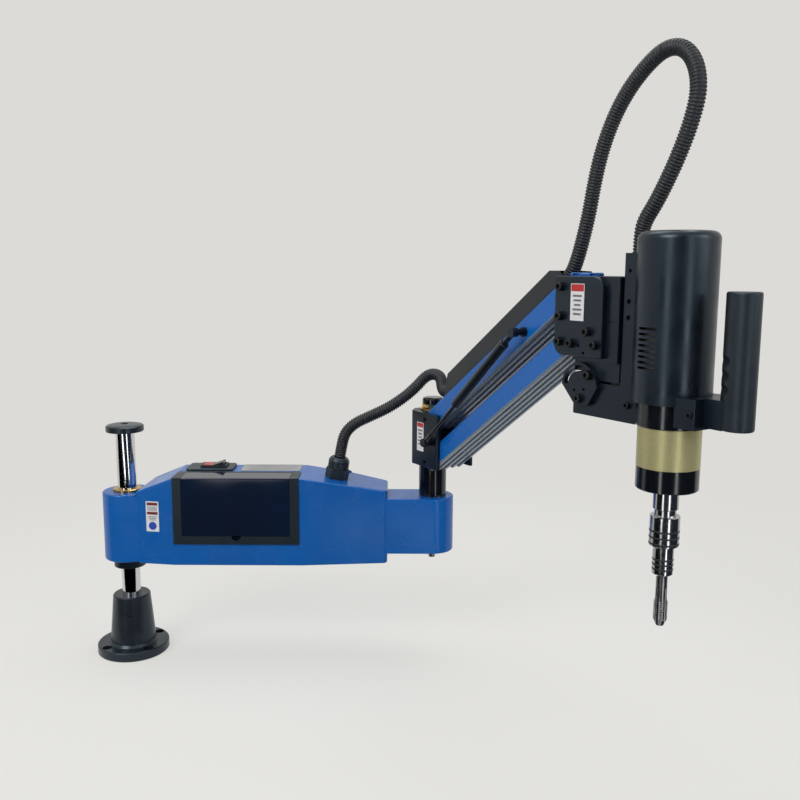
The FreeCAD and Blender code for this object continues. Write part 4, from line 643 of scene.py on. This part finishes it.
def declare_hose(hose, node):
    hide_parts(node)


def carried_hose(name, route, body, node):
    """Conduit that lies along one body."""
    places = hose_places(route)
    declare_hose(add_piece(name, conduit_mesh(name, places), HOSE_RUBBER, body), node)


def bending_hose(route, node, cut, bends):
    """Conduit across two joints, in two lengths."""
    places = hose_places(route)
    middle = round(cut * (len(places) - 1))
    spans = ((0, middle), (middle, len(places) - 1))
    for (first, last), (name, one, other, start, end) in zip(spans, bends):
        own = places[first:last + 1]
        hose = add_object(name, conduit_mesh(name, own, first), HOSE_RUBBER)
        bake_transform(hose)
        declare_hose(hose, node)


bending_hose(ELBOW_HOSE, "elbow_hose", ELBOW_HOSE_CUT, ELBOW_HOSE_BENDS)
carried_hose("cover_conduit", COVER_HOSE, "upper_arm", "cover_hose")
bending_hose(HEAD_HOSE, "head_hose", HEAD_HOSE_CUT, HEAD_HOSE_BENDS)

# ================================================================ labels and plates
LABEL_THICKNESS = 0.4
LABEL_CORNER = 1.0
BAND_THICKNESS = 0.12
BAND_CORNER = 0.3
# A line of print: its height as a share of the pitch, and the shares of the width that lines take in turn.
LINE_HEIGHT = 0.45
LINE_WIDTHS = (0.95, 0.81, 0.67)
# Where the slanting front face of the housing, left of the screen, begins and ends.
WING_LEFT = row_point(28.0, -46.0, 0.0)
WING_RIGHT = row_point(100.0, -57.0, 0.0)
WING_ACROSS = (WING_RIGHT - WING_LEFT).normalized()
WING_OUT = WING_ACROSS.cross(UP)
HOUSING_LABEL_X = 61.0
HOUSING_LABEL_HEIGHT = 283.0
HOUSING_LABEL_SIZE = (25.0, 58.0)
HOUSING_DISC_DROP = 18.0
HOUSING_DISC_RADIUS = 7.7
HOUSING_DISC_THICKNESS = 0.15
ELBOW_LABEL_CENTRE = arm_point(19.0, -ELBOW_HEAD_FACE, 435.0)
ELBOW_LABEL_SIZE = (21.0, 54.0)
LINK_LABEL_CENTRE = arm_point(416.5, -LINK_PLATE_FACE, 697.0)
LINK_LABEL_SIZE = (27.0, 53.0)
TOP_PLATE_CENTRE = row_point(273.5, 35.0, 357.0)
TOP_PLATE_SIZE = (115.0, 54.0)
TOP_PLATE_THICKNESS = 0.8
TOP_PLATE_CORNER = 2.0
TOP_ROW_PLACES = (16.0, 5.5, -5.0, -15.5)
TOP_ROW_WIDTHS = (96.0, 83.0, 96.0, 83.0)
TOP_ROW_HEIGHT = 2.2
TOP_ROW_THICKNESS = 0.1
TOP_ROW_CORNER = 0.4


def label(name, centre, across, size, body, bands):
    """Plain upright plate with coloured bands: each band is (centre height, height, width, material)."""
    rounded_plate(name, centre, across, UP, size, LABEL_THICKNESS, LABEL_CORNER, LABEL_WHITE, body)
    front = centre + across.cross(UP) * LABEL_THICKNESS * MM
    for k, (place, tall, wide, material) in enumerate(bands):
        rounded_plate(name + "_band" + str(k), front + UP * place * MM, across, UP, (wide, tall),
                      BAND_THICKNESS, BAND_CORNER, material, body)


def text_lines(count, top, pitch, width):
    """Thin dark bars of uneven length, like rows of small print."""
    rows = []
    for k in range(count):
        share = LINE_WIDTHS[k % len(LINE_WIDTHS)]
        rows.append((top - pitch * k, pitch * LINE_HEIGHT, width * share, LABEL_GREY))
    return rows


def housing_label():
    """White plate with a disc, on the slanting face left of the screen."""
    share = (HOUSING_LABEL_X * MM - WING_LEFT.x) / (WING_RIGHT.x - WING_LEFT.x)
    centre = WING_LEFT.lerp(WING_RIGHT, share) + UP * HOUSING_LABEL_HEIGHT * MM
    bands = [
        (24.0, 5.5, 21.0, LABEL_MAROON),
        (15.0, 9.0, 19.0, LABEL_PALE),
        (6.3, 5.5, 21.0, LABEL_MAROON),
        *text_lines(3, -0.5, 3.0, 18.0),
    ]
    label("housing_label", centre, WING_ACROSS, HOUSING_LABEL_SIZE, "swing_arm", bands)
    middle = centre + (WING_OUT * LABEL_THICKNESS - UP * HOUSING_DISC_DROP) * MM
    disc("housing_label_disc", middle, WING_OUT, HOUSING_DISC_RADIUS, HOUSING_DISC_THICKNESS, LABEL_BLUE,
         "swing_arm")


def elbow_label():
    bands = [(22.0, 8.0, 19.0, LABEL_RED), *text_lines(5, 12.0, 6.5, 15.0)]
    label("elbow_label", ELBOW_LABEL_CENTRE, ARM_X, ELBOW_LABEL_SIZE, "elbow", bands)


def link_label():
    bands = [(20.5, 10.0, 25.0, LABEL_RED), *text_lines(5, 9.0, 6.5, 19.0)]
    label("link_label", LINK_LABEL_CENTRE, ARM_X, LINK_LABEL_SIZE, "link", bands)


def top_plate():
    """Bright plate on the housing with rows of plain lines."""
    rounded_plate("top_plate", TOP_PLATE_CENTRE, ROW_X, ROW_Y, TOP_PLATE_SIZE, TOP_PLATE_THICKNESS,
                  TOP_PLATE_CORNER, SILVER_PLATE, "swing_arm")
    for k, (place, width) in enumerate(zip(TOP_ROW_PLACES, TOP_ROW_WIDTHS)):
        row = TOP_PLATE_CENTRE + row_point(0.0, place, TOP_PLATE_THICKNESS)
        rounded_plate("top_plate_row" + str(k), row, ROW_X, ROW_Y, (width, TOP_ROW_HEIGHT), TOP_ROW_THICKNESS,
                      TOP_ROW_CORNER, LABEL_GREY, "swing_arm")


housing_label()
elbow_label()
link_label()
top_plate()

# ================================================================ rings on the chuck
TOOL_AXIS = arm_point(TOOL_REACH, 0.0, 0.0)
SLEEVE_RINGS = (4.0, 13.0, 22.0)
SLEEVE_RING_RADIUS = 19.2
COLLET_RINGS = (8.0, 15.0, 22.0)
COLLET_RING_RADIUS = 13.1
RING_TUBE_RADIUS = 1.7
RING_STEPS = 48
RING_SIDES = 8


def o_ring(name, centre, radius, body):
    """Round rubber ring that lies in a groove of the chuck."""
    rings = []
    for way in circle(Vector(), ROW_X, ROW_Y, 1.0, RING_STEPS):
        rings.append(circle(centre + way * radius * MM, way, -UP, RING_TUBE_RADIUS * MM, RING_SIDES))
    add_piece(name, skin_mesh(name, rings, closed=True), RING_RUBBER, body)


def ringed(node, body, places, radius):
    """Rings at given heights above a node's lower end."""
    low = TOOL_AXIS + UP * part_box(node)[0][2]
    for k, place in enumerate(places):
        o_ring(node + "_ring" + str(k), low + UP * place * MM, radius, body)


ringed("chuck_sleeve", "chuck", SLEEVE_RINGS, SLEEVE_RING_RADIUS)
ringed("tap_collet", "tool_spindle", COLLET_RINGS, COLLET_RING_RADIUS)

# ================================================================ stage and light, in metres
BACKGROUND = (0.716, 0.708, 0.680)
WORLD_LIGHT = (0.30, 0.31, 0.33)
STAGE_MIDDLE_X = 0.5
FLOOR_COLOR = (0.66, 0.655, 0.635)
FLOOR_SEEN = (0.22, 0.2185, 0.212)
FLOOR_GLOW = (0.555, 0.549, 0.528)
# The floor fades into the background between these two distances from its middle.
FLOOR_MIDDLE = (0.45, -0.25, 0.0)
FLOOR_FADE = (0.95, 2.4)
BACKDROP_FRONT = -6.0
BACKDROP_BEND = 2.2
BACKDROP_RADIUS = 1.2
BACKDROP_STEPS = 12
BACKDROP_TOP = 6.0
BACKDROP_HALF = 6.0
FLAG_PROFILE = [(-0.12, 0.004), (-3.2, 0.004), (-3.6, 0.15), (-3.8, 0.6), (-3.8, 4.0)]
FLAG_HALF = 5.5
# The strips on the flag run out from a place under the tool. Each has a sideways slope and half a width,
# within a span of slopes to either side.
FLAG_CENTRE = (0.89, -0.47)
FLAG_STRIPS = [(-0.87, 0.11), (0.306, 0.075)]
FLAG_SPAN = 2.4
FLAG_DARK = (0.020, 0.026, 0.036, 1.0)
FLAG_PALE = (4.2, 4.2, 4.2, 1.0)
# Where the colours of a strip lie, in shares of half its width.
FLAG_STOPS = [(-1.35, FLAG_DARK), (-0.9, FLAG_PALE), (0.9, FLAG_PALE), (1.35, FLAG_DARK)]
FLAG_NEAREST = 0.05
# The screen mirrors the flag left of this X and behind this Y.
SCREEN_VIEW = (0.50, -1.50)
LIGHT_AIM = Vector((0.55, -0.15, 0.5))
# Each light: name, place, size, watts and colour.
LIGHTS = [
    ("key", (-1.3, -2.3, 2.4), (1.8, 1.4), 62.0, (1.0, 0.99, 0.97)),
    ("fill", (2.8, -1.9, 1.6), (1.4, 1.6), 24.0, (0.97, 0.98, 1.0)),
    ("top", (0.6, 0.4, 3.0), (2.6, 1.6), 40.0, (1.0, 1.0, 1.0)),
]


def seen_directly(tree):
    """1 for camera, glossy and transmission rays, else 0."""
    path = add_node(tree, "ShaderNodeLightPath").outputs
    first = compute(tree, "MAXIMUM", path["Is Camera Ray"], path["Is Glossy Ray"])
    return compute(tree, "MAXIMUM", first, path["Is Transmission Ray"])


def floor_material():
    """Pale floor that takes shadows near the object and fades into the background farther out."""
    shader = Shader("backdrop", FLOOR_COLOR, 0.8, Specular_IOR_Level=0.0)
    tree = shader.tree
    seen = seen_directly(tree)
    distance = add_node(tree, "ShaderNodeVectorMath", operation="DISTANCE")
    feed(tree, distance.inputs[0], shader.place())
    feed(tree, distance.inputs[1], FLOOR_MIDDLE)
    fade = add_node(tree, "ShaderNodeMapRange", interpolation_type="SMOOTHSTEP",
                    From_Min=FLOOR_FADE[0], From_Max=FLOOR_FADE[1])
    feed(tree, fade.inputs["Value"], distance.outputs["Value"])
    share = fade.outputs["Result"]
    shown = mix_colors(tree, share, FLOOR_SEEN, (0.0, 0.0, 0.0))
    shader.link(mix_colors(tree, seen, FLOOR_COLOR, shown), "Base Color")
    shader.link(mix_colors(tree, share, FLOOR_GLOW, BACKGROUND), "Emission Color")
    return shader.link(seen, "Emission Strength").material


def swept_surface(name, profile, half, material):
    """Stage surface that follows a (y, z) profile across a width."""
    built = bmesh.new()
    rows = [[built.verts.new((x + STAGE_MIDDLE_X, y, z)) for x in (-half, half)] for y, z in profile]
    for a, b in zip(rows, rows[1:]):
        built.faces.new((a[0], a[1], b[1], b[0]))
    mesh = bpy.data.meshes.new(name)
    built.to_mesh(mesh)
    built.free()
    for polygon in mesh.polygons:
        polygon.use_smooth = True
    surface = add_object(name, mesh, material)
    return surface


def make_backdrop():
    """Floor that curves up into a wall."""
    profile = [(BACKDROP_FRONT, 0.0), (BACKDROP_BEND, 0.0)]
    for k in range(1, BACKDROP_STEPS + 1):
        angle = math.radians(90.0 * k / BACKDROP_STEPS)
        rise = BACKDROP_RADIUS * (1.0 - math.cos(angle))
        profile.append((BACKDROP_BEND + BACKDROP_RADIUS * math.sin(angle), rise))
    profile.append((BACKDROP_BEND + BACKDROP_RADIUS, BACKDROP_TOP))
    swept_surface("backdrop", profile, BACKDROP_HALF, floor_material())


def flag_material():
    """Dark cloth with two pale strips that run away from the tool, all black where the screen mirrors it."""
    shader = Shader("flag", (0.0, 0.0, 0.0), 0.5, Specular_IOR_Level=0.0)
    tree = shader.tree
    parts = add_node(tree, "ShaderNodeSeparateXYZ")
    feed(tree, parts.inputs["Vector"], shader.place())
    across = compute(tree, "SUBTRACT", parts.outputs["X"], FLAG_CENTRE[0])
    away = compute(tree, "SUBTRACT", FLAG_CENTRE[1], parts.outputs["Y"])
    slope = compute(tree, "DIVIDE", across, compute(tree, "MAXIMUM", away, FLAG_NEAREST))
    share = add_node(tree, "ShaderNodeMapRange", From_Min=-FLAG_SPAN, From_Max=FLAG_SPAN)
    feed(tree, share.inputs["Value"], slope)
    ramp = add_node(tree, "ShaderNodeValToRGB")
    feed(tree, ramp.inputs["Fac"], share.outputs["Result"])
    elements = ramp.color_ramp.elements
    elements.remove(elements[-1])
    elements[0].color = FLAG_DARK
    for centre, half in FLAG_STRIPS:
        for place, color in FLAG_STOPS:
            elements.new(0.5 + (centre + half * place) / FLAG_SPAN / 2).color = color
    shader.link(ramp.outputs["Color"], "Emission Color")
    left = compute(tree, "LESS_THAN", parts.outputs["X"], SCREEN_VIEW[0])
    near = compute(tree, "GREATER_THAN", parts.outputs["Y"], SCREEN_VIEW[1])
    mirrored = compute(tree, "MULTIPLY", left, near)
    return shader.link(compute(tree, "SUBTRACT", 1.0, mirrored), "Emission Strength").material


def make_flag():
    """Dark reflector in front of the object, which only reflections show."""
    flag = swept_surface("flag", FLAG_PROFILE, FLAG_HALF, flag_material())
    flag.visible_camera = False
    flag.visible_diffuse = False
    flag.visible_transmission = False
    flag.visible_volume_scatter = False
    flag.visible_shadow = False


def area_light(name, place, size, power, color):
    """Rectangular lamp aimed at the object."""
    data = bpy.data.lights.new(name, "AREA")
    data.shape = "RECTANGLE"
    data.size, data.size_y = size
    data.energy = power
    data.color = color
    lamp = bpy.data.objects.new(name, data)
    bpy.context.scene.collection.objects.link(lamp)
    facing = (LIGHT_AIM - Vector(place)).to_track_quat("-Z", "Y").to_matrix().to_4x4()
    lamp.matrix_world = Matrix.Translation(place) @ facing


def make_world():
    """Even pale background; its light on the object is dimmer and slightly blue."""
    world = bpy.data.worlds.new("world")
    bpy.context.scene.world = world
    world.use_nodes = True
    tree = world.node_tree
    color = mix_colors(tree, seen_directly(tree), WORLD_LIGHT, BACKGROUND)
    feed(tree, tree.nodes["Background"].inputs["Color"], color)


make_backdrop()
make_flag()
make_world()
for light in LIGHTS:
    area_light(*light)

bpy.context.scene.view_settings.view_transform = "Standard"
